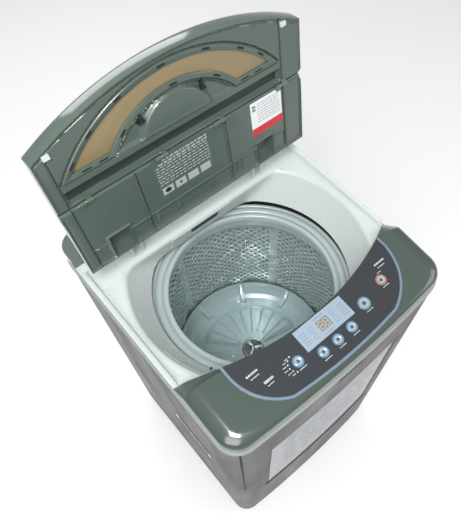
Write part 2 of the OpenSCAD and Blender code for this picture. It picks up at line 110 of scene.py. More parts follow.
# ---- Finishes ----
def linear(*rgb):
    """sRGB from 0 to 255 as linear numbers with alpha."""
    parts = [c / 255 for c in rgb]
    parts = [c / 12.92 if c < 0.04045 else ((c + 0.055) / 1.055) ** 2.4 for c in parts]
    return (*parts, 1.0)


def set_inputs(node, **values):
    """Sets a shader node's inputs, named with underscores for spaces."""
    for name, value in values.items():
        node.inputs[name.replace("_", " ")].default_value = value
    return node


def finish_of(name, rgb, rough=0.35, metal=0.0, coat=0.0, grain=1500, bump=0.05, depth=0.0001,
              wear=0.12, patch=9, tone=0.9, stretch=(1, 1, 1), flow=(1, 1, 1), glass=0.0, spec=0.5):
    """A plastic, paint or metal with fine grain, uneven gloss and slight tone change."""
    m = bpy.data.materials.new(name)
    m.use_nodes = True
    n, link = m.node_tree.nodes, m.node_tree.links.new
    base = linear(*rgb)
    surface = set_inputs(n["Principled BSDF"], Metallic=metal, Coat_Weight=coat, Coat_Roughness=0.08,
                         Transmission_Weight=glass, Specular_IOR_Level=spec)
    where = n.new("ShaderNodeTexCoord").outputs["Object"]
    scale = set_inputs(n.new("ShaderNodeMapping"), Scale=stretch)
    drift = set_inputs(n.new("ShaderNodeMapping"), Scale=flow)
    fine = set_inputs(n.new("ShaderNodeTexNoise"), Scale=grain, Detail=3)
    broad = set_inputs(n.new("ShaderNodeTexNoise"), Scale=patch, Detail=6, Roughness=0.62)
    gloss = set_inputs(n.new("ShaderNodeMapRange"), From_Min=0.3, From_Max=0.7,
                       To_Min=max(rough - wear / 2, 0.02), To_Max=rough + wear / 2)
    tint = n.new("ShaderNodeMix")
    tint.data_type = "RGBA"
    set_inputs(tint, A=base, B=(base[0] * tone, base[1] * tone, base[2] * tone, 1))
    dents = set_inputs(n.new("ShaderNodeBump"), Strength=bump, Distance=depth)
    for source, target in (
            (where, scale.inputs["Vector"]), (scale.outputs["Vector"], fine.inputs["Vector"]),
            (where, drift.inputs["Vector"]), (drift.outputs["Vector"], broad.inputs["Vector"]),
            (broad.outputs["Fac"], gloss.inputs["Value"]),
            (gloss.outputs["Result"], surface.inputs["Roughness"]),
            (broad.outputs["Fac"], tint.inputs["Factor"]),
            (tint.outputs["Result"], surface.inputs["Base Color"]),
            (fine.outputs["Fac"], dents.inputs["Height"]),
            (dents.outputs["Normal"], surface.inputs["Normal"])):
        link(source, target)
    return m


PAINT = finish_of("paint", (84, 86, 80), rough=0.4, metal=0.2, spec=0.15, bump=0.12, patch=5,
                  tone=0.58, wear=0.2, flow=(1.5, 1.5, 0.5))
ZINC = finish_of("zinc", (186, 190, 192), rough=0.42, metal=0.9, grain=240, bump=0.15, patch=30,
                 tone=0.8)
BLACK = finish_of("black_plastic", (46, 48, 48), rough=0.55, grain=1200, bump=0.3)
RUBBER = finish_of("rubber", (34, 34, 34), rough=0.75, grain=1600, bump=0.4)
STEEL = finish_of("steel", (190, 192, 194), rough=0.28, metal=1.0, grain=900, bump=0.1,
                  stretch=(1, 1, 0.1))
SAGE = finish_of("sage", (80, 93, 86), rough=0.3, coat=0.35, bump=0.06, wear=0.08, tone=0.93)
SAGE_GLOSS = finish_of("sage_gloss", (84, 98, 90), rough=0.17, coat=0.9, grain=1800, bump=0.03,
                       wear=0.06, tone=0.94)
CONSOLE = finish_of("sage_console", (66, 79, 72), rough=0.18, coat=0.6, grain=1800, bump=0.03,
                    wear=0.08, tone=0.9)
WHITE = finish_of("white", (199, 207, 205), rough=0.28, coat=0.3, bump=0.04, wear=0.1, tone=0.96)
OVERLAY = finish_of("overlay", (44, 49, 53), rough=0.24, coat=0.3, grain=2200, wear=0.1)
TRIM = finish_of("trim", (112, 130, 146), rough=0.32, grain=1800, bump=0.04)
PLATE = finish_of("display_plate", (160, 177, 192), metal=0.25, grain=2500, bump=0.08)
SMOKED = finish_of("smoked", (122, 124, 122), rough=0.14, coat=0.8, bump=0.02)
DIGIT = finish_of("digit", (196, 178, 160), rough=0.4, grain=2500)
BLUE = finish_of("ring_blue", (96, 160, 198), rough=0.25, metal=0.4, coat=0.5, grain=1800, bump=0.03)
COPPER = finish_of("ring_copper", (206, 132, 104), rough=0.25, metal=0.5, coat=0.5, grain=1800,
                   bump=0.03)
BUTTON = finish_of("button", (186, 198, 206), rough=0.2, metal=0.55, coat=0.6, grain=2000, bump=0.03)
# A dark blue-grey disc in each button's dish: painted reflection.
BUTTON_REFLECTION = finish_of("button_dark_reflection", (70, 92, 108), rough=0.22, metal=0.4, coat=0.5, grain=2000,
                        bump=0.03)
PRINT = finish_of("print", (196, 204, 208), rough=0.5, grain=2600)
PRINT_DARK = finish_of("print_dark", (110, 126, 142), rough=0.5, grain=2600)
GREEN_BOARD = finish_of("circuit_board", (38, 110, 74), rough=0.4, grain=800, bump=0.2)
NATURAL = finish_of("natural", (206, 210, 206), rough=0.5, grain=900, bump=0.1)
TUB = finish_of("tub", (172, 186, 185), rough=0.2, coat=0.3, bump=0.04, wear=0.08, tone=0.95)
WASH = finish_of("pulsator", (186, 207, 208), rough=0.2, metal=0.15, coat=0.5, bump=0.04, wear=0.08,
                 tone=0.92)
DRUM = finish_of("drum", (212, 222, 222), rough=0.27, metal=0.55, grain=120, bump=0.1, depth=0.0004,
                 patch=22, tone=0.78, wear=0.14)
CHROME = finish_of("chrome", (214, 218, 222), rough=0.1, metal=1.0, grain=900, bump=0.02, wear=0.05)
# A darker copy of the chrome for the cap's pockets: painted shade.
CHROME_SHADED = finish_of("chrome_painted_shade", (112, 122, 124), rough=0.25, metal=0.8, grain=900, bump=0.02)
CAST = finish_of("cast", (158, 160, 162), rough=0.45, metal=0.9, grain=500, bump=0.35)
WINDING = finish_of("winding", (176, 100, 52), metal=0.7, grain=300, bump=0.8, stretch=(1, 1, 9))
BELT = finish_of("belt", (36, 36, 36), rough=0.7, grain=400, bump=0.5, stretch=(1, 1, 8))
HOSE = finish_of("hose", (92, 94, 94), rough=0.55, grain=1200, bump=0.2)
GRILLE = finish_of("grille", (58, 66, 70), rough=0.5, grain=1200, bump=0.2)
# A darker copy of the sage for the floor of the lid's channel: painted shade.
SAGE_PAINTED_SHADE = finish_of("sage_painted_shade", (44, 54, 49), rough=0.4)
# Near black: used for painted shade in the front slot and on the tub's rim, for the painted dark streak
# beside the front left corner, and for dark parts and printed spots.
SHADE_AND_BLACK = finish_of("gap", (26, 32, 30), rough=0.7, grain=900, bump=0.1)
AMBER = finish_of("amber", (168, 148, 104), rough=0.16, coat=0.6, bump=0.02, wear=0.05, glass=0.35,
                  patch=4, tone=0.62)
PAPER = finish_of("paper", (232, 234, 234), rough=0.5, grain=2600, bump=0.1)
FILM = finish_of("film", (170, 176, 178), rough=0.34, grain=2000)
RED = finish_of("red_print", (206, 40, 48), rough=0.45, grain=2400, bump=0.06)
FOIL = finish_of("foil", (186, 188, 194), rough=0.34, metal=0.4, grain=260, bump=0.5, depth=0.0003,
                 patch=70, tone=0.5)
# A darker grey copy of the white, for the frame's outer lip: painted shade.
SHADED_LIP = finish_of("lip", (146, 154, 150), rough=0.4, bump=0.04)


# ---- Mesh tools ----
BOX_QUADS = ((3, 2, 1, 0), (4, 5, 6, 7), (0, 1, 5, 4), (1, 2, 6, 5), (2, 3, 7, 6), (3, 0, 4, 7))


def arc_points(cx, cy, r, start, sweep, steps):
    """Points along an arc, with its angles in degrees."""
    return [(cx + r * math.cos(a), cy + r * math.sin(a))
            for a in (math.radians(start + sweep * k / steps) for k in range(steps + 1))]


def circle(r, count, centre=(0, 0)):
    return arc_points(*centre, r, 0, 360, count)[:-1]


def rounded_box(low, high, r, steps):
    """A rectangle's outline with round corners whose centres are the corners of low and high."""
    return [p for cx, cy, start in ((high[0], high[1], 0), (low[0], high[1], 90),
                                    (low[0], low[1], 180), (high[0], low[1], 270))
            for p in arc_points(cx, cy, r, start, 90, steps)]


def at_height(loop, z):
    return [(x, y, z) for x, y in loop]


class Shape:
    """Points in millimetres and faces, gathered for one piece."""

    def __init__(self):
        self.points = []
        self.faces = []

    def add(self, points):
        first = len(self.points)
        self.points += [Vector(p) for p in points]
        return first

    def grid(self, rows, keep=None, around=False):
        """Quads between rows of points; keep(point) says where the sheet is solid."""
        wide = len(rows[0])
        first = self.add([p for row in rows for p in row])
        for i in range(len(rows) - 1):
            for j in range(wide if around else wide - 1):
                k = (j + 1) % wide
                quad = (first + i * wide + j, first + i * wide + k,
                        first + (i + 1) * wide + k, first + (i + 1) * wide + j)
                if keep is None or keep(sum((self.points[q] for q in quad), Vector()) / 4):
                    self.faces.append(quad)
        return self

    def cap(self, loop, flip=False):
        first = self.add(loop)
        ring = list(range(first, first + len(loop)))
        self.faces.append(tuple(reversed(ring)) if flip else tuple(ring))
        return self

    def block(self, low, high):
        """A box with all six faces."""
        (x0, y0, z0), (x1, y1, z1) = low, high
        base = ((x0, y0), (x1, y0), (x1, y1), (x0, y1))
        first = self.add(at_height(base, z0) + at_height(base, z1))
        self.faces += [tuple(first + k for k in quad) for quad in BOX_QUADS]
        return self

    def bar(self, outline, x0, x1):
        """A solid from x0 to x1 with an outline of (y, z) points."""
        ends = [[(x, y, z) for y, z in outline] for x in (x0, x1)]
        return self.grid(ends, around=True).cap(ends[0]).cap(ends[1], flip=True)

    def lathe(self, profile, steps=96, centre=(0, 0)):
        return self.grid([at_height(circle(r, steps, centre), z) for r, z in profile], around=True)

    def tube(self, path, radius, sides=10):
        """A round bar along a path."""
        rows = []
        for i, p in enumerate(path):
            ahead = Vector(path[min(i + 1, len(path) - 1)]) - Vector(path[max(i - 1, 0)])
            ahead.normalize()
            side = ahead.cross(Vector((0, 0, 1)))
            if side.length < 0.01:
                side = ahead.cross(Vector((0, 1, 0)))
            side.normalize()
            up = side.cross(ahead)
            rows.append([Vector(p) + radius * (side * math.cos(a) + up * math.sin(a))
                         for a in (math.tau * k / sides for k in range(sides))])
        return self.grid(rows, around=True)


def soften_edges(obj, width, least_angle):
    edge = obj.modifiers.new("soften", "BEVEL")
    edge.width = width * MM
    edge.segments = 3
    edge.limit_method = "ANGLE"
    edge.angle_limit = math.radians(least_angle)
    return edge


def piece(name, shape, body, material, place=None, stands_for=(), sharp=38, soften=0.0):
    """Makes one mesh piece, riding on its body, with its material."""
    mesh = bpy.data.meshes.new(name)
    points = [(place @ p if place else p) * MM for p in shape.points]
    mesh.from_pydata(points, [], shape.faces)
    mesh.validate()
    mesh.shade_smooth()
    mesh.set_sharp_from_angle(angle=math.radians(sharp))
    obj = bpy.data.objects.new(name, mesh)
    bpy.context.scene.collection.objects.link(obj)
    mesh.materials.append(material)
    if soften:
        soften_edges(obj, soften, 40).harden_normals = True
    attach(obj, body)
    if stands_for:
        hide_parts(*stands_for)
    return obj


def thicken(obj, depth):
    """Gives a sheet its thickness, half on each side."""
    walls = obj.modifiers.new("walls", "SOLIDIFY")
    walls.thickness = depth * MM
    walls.offset = 0.0


def smooth_min(a, b, k):
    """The smaller of two values, with the corner between them rounded over k."""
    h = max(k - abs(a - b), 0) / k
    return min(a, b) - h * h * k / 4


def step(low, high, x):
    """Rises smoothly from 0 at low to 1 at high."""
    t = min(max((x - low) / (high - low), 0), 1)
    return t * t * (3 - 2 * t)


def hump(a, b, c, d, x):
    """Rises from 0 to 1 between a and b, and falls back to 0 between c and d."""
    return step(a, b, x) * (1 - step(c, d, x))


def even(low, high, count):
    return [low + (high - low) * i / count for i in range(count + 1)]


def spaced(low, high, pitch, extra=()):
    """Even places between two ends, with tight groups round each extra place."""
    places = even(low, high, max(int(round((high - low) / pitch)), 1))
    for e in extra:
        places += [e + d for d in (-2.4, -1.5, -1.0, -0.6, 0, 0.6, 1.0, 1.5, 2.4) if low < e + d < high]
    places = sorted(places)
    kept = [places[0]]
    for p in places[1:]:
        if p - kept[-1] > 0.25:
            kept.append(p)
    kept[-1] = high
    return kept


# ---- Footprint ----
def bow(x):
    return FRONT_BOW * (1 - (x / HALF_W) ** 2)


def edge_distance(x, y):
    """Distance inside the footprint's edge, negative outside it."""
    if y < 0:
        y = min(y + bow(x), 0)
    px = abs(x) - (HALF_W - CORNER_R)
    py = abs(y) - (HALF_D - CORNER_R)
    return CORNER_R - math.hypot(max(px, 0), max(py, 0)) - min(max(px, py), 0)


def plan_loop(inset, pitch=4.0, arc_steps=12):
    """The footprint's outline, counted the same at every inset."""
    r = max(CORNER_R - inset, 2.0)
    w, d = HALF_W - inset, HALF_D - inset
    long_x = int(2 * (HALF_W - CORNER_R) / pitch)
    long_y = int(2 * (HALF_D - CORNER_R) / pitch)
    loop = []
    for k, (sx, sy) in enumerate(((1, 1), (-1, 1), (-1, -1), (1, -1))):
        for i in range(arc_steps + 1):
            a = math.pi / 2 * (k + i / arc_steps)
            loop.append((sx * (w - r) + r * math.cos(a), sy * (d - r) + r * math.sin(a)))
        across = k % 2 == 0
        count = long_x if across else long_y
        for i in range(1, count):
            t = i / count
            if across:
                loop.append((sx * (w - r) * (1 - 2 * t), sy * d))
            else:
                loop.append((sx * w, sy * (d - r) * (1 - 2 * t)))
    return [(x, y - bow(x) if y < 0 and abs(y) > d - r - 1e-6 else y) for x, y in loop]


def ring_of(level, at, count=360, far=420.0, near=120.0):
    """Points at each angle where level(x, y) reaches a value, going inwards."""
    points = []
    for k in range(count):
        a = math.tau * k / count
        c, s = math.cos(a), math.sin(a)
        low, high = near, far
        for _ in range(26):
            mid = (low + high) / 2
            if level(mid * c, mid * s) > at:
                low = mid
            else:
                high = mid
        points.append((low * c, low * s))
    return points


# ---- Cabinet ----
def pressed_front(x, z):
    """How deep the front sheet is pressed in: a tall panel and a short slot near the top."""
    side = step(186, 192, abs(x))
    ends = max(step(746, 752, z), 1 - step(300, 306, z))
    slot = (1 - step(30, 34, abs(x - 5))) * (1 - step(4, 8, abs(z - 876)))
    return 4.0 * (1 - max(side, ends)) + 3.0 * slot


def cabinet_body():
    """The sheet steel wall with its pressed front, open at the back and at the grips."""
    shape = Shape()
    rows = [[(x, y, SKIRT_Z + 0.6) for x, y in plan_loop(18)]]
    levels = spaced(SKIRT_Z + 0.6, SHELL_TOP - 0.6, 9.0, extra=(303, 749, 876))
    for z in levels:
        loop = plan_loop(0.6)
        rows.append([(x, y + (pressed_front(x, z) if y < -HALF_D + 5 else 0), z) for x, y in loop])
    rows.append([(x, y, SHELL_TOP - 0.6) for x, y in plan_loop(14)])

    def solid(p):
        """False where the rear panel and the side grips close the cabinet."""
        in_back = p.y > HALF_D - 3 and abs(p.x) < 203 and 60 < p.z < 885
        in_grip = abs(p.x) > HALF_W - 3 and -166 < p.y < -44 and 544 < p.z < 580
        return not (in_back or in_grip)

    shape.grid(rows, keep=solid, around=True)
    obj = piece("cabinet_body", shape, "root", PAINT, stands_for=["cabinet_shell"])
    thicken(obj, 1.1)


def front_sheet():
    """A plain silver sheet lying in the pressed front panel."""
    shape = Shape()
    rows = []
    for z in (312, 314, 738, 740):
        rows.append([(x, -HALF_D - bow(x) + 3.3, z) for x in spaced(-180, 180, 8)])
    shape.grid(rows)
    thicken(piece("front_sheet", shape, "root", FOIL), 0.4)
    bars = Shape()
    rng = random.Random(5)
    for i in range(9):
        z = 700 - i * 34
        x = -150 + rng.uniform(0, 20)
        while x < 140:
            wide = rng.uniform(18, 60)
            rows = [[(u, -HALF_D - bow(u) + 2.9, z + v) for u in spaced(x, min(x + wide, 160), 8)]
                    for v in (-3, 3)]
            bars.grid(rows)
            x += wide + rng.uniform(8, 20)
    piece("front_sheet_bars", bars, "root", PRINT_DARK)


def front_slot_shade():
    """A dark sheet across the short slot under the frame's lip: painted shade inside the slot."""
    shape = Shape()
    rows = [[(x, -HALF_D - bow(x) + 0.7, z) for x in spaced(-27, 37, 8)] for z in (872, 880.5)]
    shape.grid(rows)
    thicken(piece("front_slot_shade", shape, "root", SHADE_AND_BLACK), 0.4)


def corner_reflection_streak():
    """A narrow dark strip beside the front left corner, drawn as a lap seam: painted dark reflection."""
    cx, cy = -(HALF_W - CORNER_R), -(HALF_D - CORNER_R)
    rows = []
    for proud, z in ((-0.6, 452), (0.5, 455), (0.5, 893), (-0.6, 896)):
        arc = arc_points(cx, cy, CORNER_R + proud, 236, 6, 6)
        rows.append([(x, y - bow(x), z) for x, y in arc])
    piece("corner_reflection_streak", Shape().grid(rows), "root", SHADE_AND_BLACK)


# ---- Top frame ----
FUNNEL_LOW = 842.0
FUNNEL_LOW_R = 208.0
FUNNEL_TOP_R = 242.0
REAR_WALL_Y = 150.0
REAR_LEAN = math.radians(17)


def funnel_level(z):
    """Inside distance to the funnel's wall at one height: a cone cut by a flat rear wall."""
    r = FUNNEL_LOW_R + (FUNNEL_TOP_R - FUNNEL_LOW_R) * (z - FUNNEL_LOW) / (SHELL_TOP - FUNNEL_LOW)
    wall = REAR_WALL_Y + (SHELL_TOP - z) * math.tan(REAR_LEAN)
    return lambda x, y: smooth_min(r - math.hypot(x, y), (wall - y) * math.cos(REAR_LEAN), 16)


def recess_level(x, y):
    """Inside distance to the lid recess, which is open under the console."""
    return smooth_min(smooth_min(edge_distance(x, y) - 2.0, LID_HALF + 3 - abs(x), 5), 190 - y, 7)


def rim_level(x, y):
    return min(recess_level(x, y), edge_distance(x, y) - 2.4)


def top_frame_shell():
    """The white moulding: outer lip, rim beside the lid, deck and funnel, from the outside inwards."""
    rows = [at_height(ring_of(edge_distance, at), SHELL_TOP + up) for at, up in
            ((0.4, -8), (-1.6, -8), (-2.0, -7), (-2.0, 4), (-1.2, 6.3), (1.0, 7))]
    for level, at, z in ((edge_distance, 1.1, RIM_Z - 1.5), (edge_distance, 1.8, RIM_Z - 0.2),
                         (rim_level, -0.2, RIM_Z), (recess_level, 0.6, RIM_Z - 1.2),
                         (recess_level, 1.6, DECK_Z + 1.6), (recess_level, 3.0, DECK_Z)):
        # Under the console, where y is below -100, the rim is flat.
        rows.append([(x, y, z if y > -100 else min(z, DECK_Z)) for x, y in ring_of(level, at)])
    rows += [at_height(ring_of(funnel_level(SHELL_TOP), at), DECK_Z - down) for at, down in
             ((-13, 0), (-8, 0.5), (-4.5, 2), (-2, 4.4), (-0.6, 7))]
    rows += [at_height(ring_of(funnel_level(z), 0), z) for z in even(SHELL_TOP - 4, FUNNEL_LOW, 8)]
    rows += [at_height(ring_of(funnel_level(FUNNEL_LOW), at), FUNNEL_LOW + up) for at, up in
             ((-1.2, -1), (-2.8, 1.5))]
    obj = piece("top_frame_shell", Shape().grid(rows, around=True), "root", WHITE,
                stands_for=["top_frame"], sharp=60)
    # The outer lip takes the darker copy of the white: painted shade on the lip's faces.
    obj.data.materials.append(SHADED_LIP)
    for face in obj.data.polygons:
        x, y, z = face.center / MM
        if edge_distance(x, y) < 3.0 and z < SHELL_TOP + 18:
            face.material_index = 1


def rear_wall_point(x, up, out):
    """A point on the leaning rear wall: up along it from the deck's edge, out towards the tub."""
    y = REAR_WALL_Y - up * math.sin(REAR_LEAN) - out * math.cos(REAR_LEAN)
    return (x, y, SHELL_TOP + up * math.cos(REAR_LEAN) - out * math.sin(REAR_LEAN))


def rear_insert():
    """The separate plate in the rear wall that carries the water inlet."""
    low, high = (-78, -50), (64, -6)
    outline = rounded_box(low, high, 5, 6)
    middle = ((low[0] + high[0]) / 2, (low[1] + high[1]) / 2)

    def loop(grow, out):
        return [rear_wall_point(u + math.copysign(grow, u - middle[0]),
                                v + math.copysign(grow, v - middle[1]), out) for u, v in outline]

    rows = [loop(0.8, -0.5), loop(0.8, 0.5), loop(0.2, 1.0)]
    shape = Shape().grid(rows, around=True).cap(rows[-1])
    piece("rear_insert", shape, "root", WHITE, sharp=25)


def inlet_slots():
    """The water inlet's dark grille with its slats."""
    frame_shape = Shape()
    slats = Shape()
    low, high = -26.5, -8.5

    def slab(shape, x0, x1, v0, v1, o0, o1):
        f = shape.add([rear_wall_point(x, v, o) for o in (o0, o1) for v in (v0, v1) for x in (x0, x1)])
        for q in ((0, 1, 3, 2), (4, 6, 7, 5), (0, 4, 5, 1), (2, 3, 7, 6), (0, 2, 6, 4), (1, 5, 7, 3)):
            shape.faces.append(tuple(f + k for k in q))

    slab(frame_shape, -34, 36, low, high, 0.2, 1.15)
    for i in range(12):
        x = -31.5 + i * 5.75
        slab(slats, x, x + 2.0, low + 1, high - 1, 1.1, 1.9)
    slab(slats, -34, 36, high - 1.2, high, 1.1, 1.8)
    slab(slats, -34, 36, low, low + 1.2, 1.1, 1.8)
    piece("inlet_back", frame_shape, "root", SHADE_AND_BLACK, stands_for=["inlet_grille"])
    piece("inlet_slats", slats, "root", GRILLE, soften=0.3)


def funnel_radius(a, z):
    """The funnel's radius at one angle and height, to a quarter of a millimetre."""
    level = funnel_level(z)
    tries = (260 - 0.25 * j for j in range(400))
    return next(r for r in tries if level(r * math.cos(a), r * math.sin(a)) > 0)


def softener_lid():
    """The small curved cover of the softener pocket on the front left of the funnel."""
    low, high, sweep = 850, 903, 30
    rows = []
    for z in spaced(low, high, 2.4):
        row = []
        for t in even(0, 1, 30):
            a = math.radians(186 + sweep * t)
            edge = min(t, 1 - t) * sweep / 2.2
            rise = min(edge, (z - low) / 2.4, (high - z) / 2.4, 1.0)
            r = funnel_radius(a, z) - 1.5 * step(0, 1, rise)
            row.append((r * math.cos(a), r * math.sin(a), z))
        rows.append(row)
    piece("softener_lid", Shape().grid(rows), "root", WHITE, sharp=30)
    a = math.radians(209)
    ends = [(r * math.cos(a), r * math.sin(a), z) for r, z in ((218, 868), (212, 869))]
    dot = Shape().tube(ends, 1.8)
    dot.cap([dot.points[-k] for k in range(1, 11)])
    piece("softener_dot", dot, "root", SHADE_AND_BLACK)


def hinge_posts():
    """White hinge brackets beside each lid arm, rounded round the pin."""
    shape = Shape()
    outline = [(PIVOT_Y + 12, DECK_Z - 1), *arc_points(PIVOT_Y, PIVOT_Z, 9, 0, 180, 15),
               (PIVOT_Y - 9, DECK_Z - 1)]
    for side in (-1, 1):
        for off in (-11, 11):
            x = side * PIN_REACH + off
            shape.bar(outline, x - 3.2, x + 3.2)
    piece("hinge_posts", shape, "root", WHITE, soften=0.9)


def deck_plates():
    """Slightly raised pads on the deck round the hinges, with a step line in front."""
    shape = Shape()
    for side in (-1, 1):
        lo, hi = sorted((side * 205, side * (LID_HALF - 0.5)))
        shape.block((lo, 137, DECK_Z - 1), (hi, 186, DECK_Z + 1.1))
        lo, hi = sorted((side * 250, side * (LID_HALF - 0.5)))
        shape.block((lo, 54, DECK_Z - 1), (hi, 136, DECK_Z + 0.9))
    piece("deck_plates", shape, "root", WHITE, soften=0.8)


# ---- Console ----
def console_z(y):
    return CONSOLE_TOP + math.tan(CONSOLE_TILT) * (y + 170)


def arc_y(x, r=ARC_R):
    return ARC_CY - math.sqrt(r * r - x * x)


def lens_edge(x, y):
    """Inside distance to the control overlay's lens outline."""
    def rounded(cx, cy, r):
        return r - math.hypot(x - cx, y - cy)

    left = rounded(-83, -162, 104)
    right = rounded(86, -148, 118)
    across = min(x + 83, 86 - x, y + 266) if -83 <= x <= 86 else -1e3
    upper = min(x + 187, 204 - x, y + 162)
    lens = max(left, right, across, upper if y > -162 else -1e3)
    bulge = 1046 - math.hypot(x - 8, y - 780)
    back = math.hypot(x, y - ARC_CY) - (ARC_R + 2.5)
    return min(lens, bulge, back)


def console_drop(x, y):
    """How far the console's top falls below its plane near its edges."""
    d_out = max(edge_distance(x, y) - 1.0, 0)
    side = step(196, 262, abs(x))
    reach = 13 + 24 * side
    fall = 9 + 7 * side
    t = min(d_out / reach, 1)
    outer = fall * (1 - math.sqrt(max(1 - (1 - t) ** 2, 0)))
    wing = min(abs(x) / LID_HALF, 1.03) ** 5.5
    wide = 3 + 25 * wing
    d_arc = max(math.hypot(x, y - ARC_CY) - ARC_R, 0)
    ramp = 1 - min(d_arc / wide, 1)
    inner = (2.5 + 27 * wing) * ramp
    return max(outer, 0) + inner


def console_front(x):
    """The console's front edge: bowed, with round corners."""
    front = -(HALF_D - 1.0) - bow(x)
    over = max(abs(x) - (HALF_W - CORNER_R), 0)
    r = CORNER_R - 1.0
    return front + r - math.sqrt(max(r * r - over * over, 0))


def console_shell():
    """The console's top, back and front walls, open where the overlay's lens lies."""
    rows = []
    for angle in even(0, math.pi, 180):
        x = -(HALF_W - 1.02) * math.cos(angle)
        back, front = arc_y(x), console_front(x)
        top = [(x, y, console_z(y) - console_drop(x, y)) for y in even(back, front, 64)]
        low = top[-1][2]
        rows.append([(x, back, DECK_Z), (x, back, top[0][2] - 0.6), *top, (x, front, low - 3),
                     (x, front, (low + DECK_Z) / 2), (x, front, DECK_Z)])
    ends = [[(p[0], p[1], DECK_Z) for p in row] for row in (rows[0], rows[-1])]
    shape = Shape().grid([ends[0], *rows, ends[1]],
                         keep=lambda p: p.z <= console_z(p.y) - 3 or lens_edge(p.x, p.y) <= 3.5)
    piece("console_shell", shape, "root", CONSOLE, stands_for=["console_cover"], sharp=50)


def on_panel(x, y, up=0.0):
    """A point above the console's plane, measured square to it."""
    return (x, y - math.sin(CONSOLE_TILT) * up, console_z(y) + math.cos(CONSOLE_TILT) * up)


def panel_place(x, y):
    return Matrix.Translation(on_panel(x, y)) @ Matrix.Rotation(CONSOLE_TILT, 4, "X")


def buttons():
    """Body, centre and radius of each button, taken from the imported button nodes."""
    for name in ("program", "wash", "rinse", "spin", "start", "power"):
        low, high = box_mm("button_" + name)
        yield "button_" + name, (low.x + high.x) / 2, (low.y + high.y) / 2 - 0.35, (high.x - low.x) / 2 - 1.2


def push_buttons():
    for body, x, y, r in buttons():
        place = panel_place(x, y)
        cap = Shape().lathe([(0.01, 2.2), (r * 0.3, 2.25), (r * 0.62, 2.7), (r * 0.8, 3.25), (r * 0.9, 3.4),
                             (r * 0.97, 3.15), (r - 0.05, 2.6), (r - 0.05, -2.5), (r + 1.0, -2.6),
                             (r + 1.0, -4.6), (2.6, -4.7), (2.6, -10), (0.01, -10)], 48)
        piece(body + "_cap", cap, body, BUTTON, place, [body], sharp=45)
        # A dark disc in the middle of the concave silver cap: painted reflection of the dark surroundings.
        reflection_disc = Shape().lathe([(0.01, 2.75), (r * 0.2, 2.72), (r * 0.34, 2.5), (r * 0.42, 2.3)], 32)
        piece(body + "_dark_reflection", reflection_disc, body, BUTTON_REFLECTION, place)


def word_runs(rng, x, last, end, shortest, longest, gap):
    """Start and width of each word in a line of print; no word starts beyond last."""
    while x < last:
        wide = min(rng.uniform(shortest, longest), end - x)
        yield x, wide
        x += wide + gap


def flat_bar(shape, x0, x1, y0, y1, up):
    shape.cap([on_panel(x, y, up) for x, y in ((x0, y0), (x1, y0), (x1, y1), (x0, y1))])


def flat_words(shape, rng, x, y, length, height, up=1.55):
    for start, wide in word_runs(rng, x, x + length, x + length, 1.4, 3.6, 0.9):
        flat_bar(shape, start, start + wide, y, y + height, up)


def overlay_marks(rng):
    """Light marks on the dark overlay: captions, the ring of program dots and two side texts."""
    light = Shape()
    for _, x, y, r in buttons():
        flat_words(light, rng, x - 8, y - r - 6.5, 16, 1.6)
    for k in range(6):
        a = math.radians(110 + 24 * k)
        cx, cy = -80 + 20 * math.cos(a), -219 + 17 * math.sin(a)
        light.cap([on_panel(x, y, 1.6) for x, y in circle(1.5, 12, (cx, cy))])
        flat_words(light, rng, cx - 11, cy - 0.8, 7.5, 1.5)
    for x, y, length, height in ((-168, -186, 24, 3.4), (-164, -193, 18, 1.7), (-150, -213, 20, 4.6),
                                 (-148, -219, 14, 1.6), (158, -176, 26, 3.4), (160, -183, 18, 1.7),
                                 (150, -190, 10, 1.4)):
        flat_words(light, rng, x, y, length, height)
    piece("overlay_marks", light, "root", PRINT)


def plate_marks(rng):
    """Dark marks on the display plate and the two digits in its window."""
    dark, digits = Shape(), Shape()
    low, high = box_mm("display_plate")
    cx, cy = (low.x + high.x) / 2, (low.y + high.y) / 2
    for side in (-1, 1):
        for i in range(5):
            y = cy - 13 + i * 5.6
            flat_words(dark, rng, cx + side * 46 - 6.5, y, 13, 1.3, 2.68)
            flat_words(dark, rng, cx + side * 26 - 6, y, 10, 1.1, 2.68)
    for y in (cy + 15.6, cy - 17.6):
        flat_words(dark, rng, cx - 12, y, 24, 1.4, 2.68)
    piece("plate_marks", dark, "root", PRINT_DARK)
    for dx in (-6.2, 6.2):
        x0, x1 = cx + dx - 4.2, cx + dx + 4.2
        for y in (cy - 8, cy - 0.6, cy + 6.8):
            flat_bar(digits, x0 + 0.8, x1 - 0.8, y, y + 1.2, 2.3)
        for y in (cy - 6.6, cy + 0.8):
            flat_bar(digits, x0 - 0.4, x0 + 0.8, y, y + 5.8, 2.3)
            flat_bar(digits, x1 - 0.8, x1 + 0.4, y, y + 5.8, 2.3)
    piece("display_digits", digits, "root", DIGIT)


def printed_marks():
    """Plain marks in place of the captions, with no lettering."""
    rng = random.Random(11)
    overlay_marks(rng)
    plate_marks(rng)


# ---- Drum and pulsator ----
def drum_emboss(a, z):
    """Radial height of the pressed pattern: slanted waves between plain columns."""
    low, high = drum_low.z, drum_high.z
    t = (z - low) / (high - low)
    fade = hump(0.02, 0.1, 0.93, 0.99, t)
    sweep = math.sin(18 * a + 7.5 * t * math.pi)
    fan = max(0.0, math.sin(6 * a + 2.2 * math.sin(3.1 * t * math.pi))) ** 1.5
    return fade * (3.2 * sweep * fan + 0.4 * math.sin(36 * a - 9 * t * math.pi) * (1 - fan))


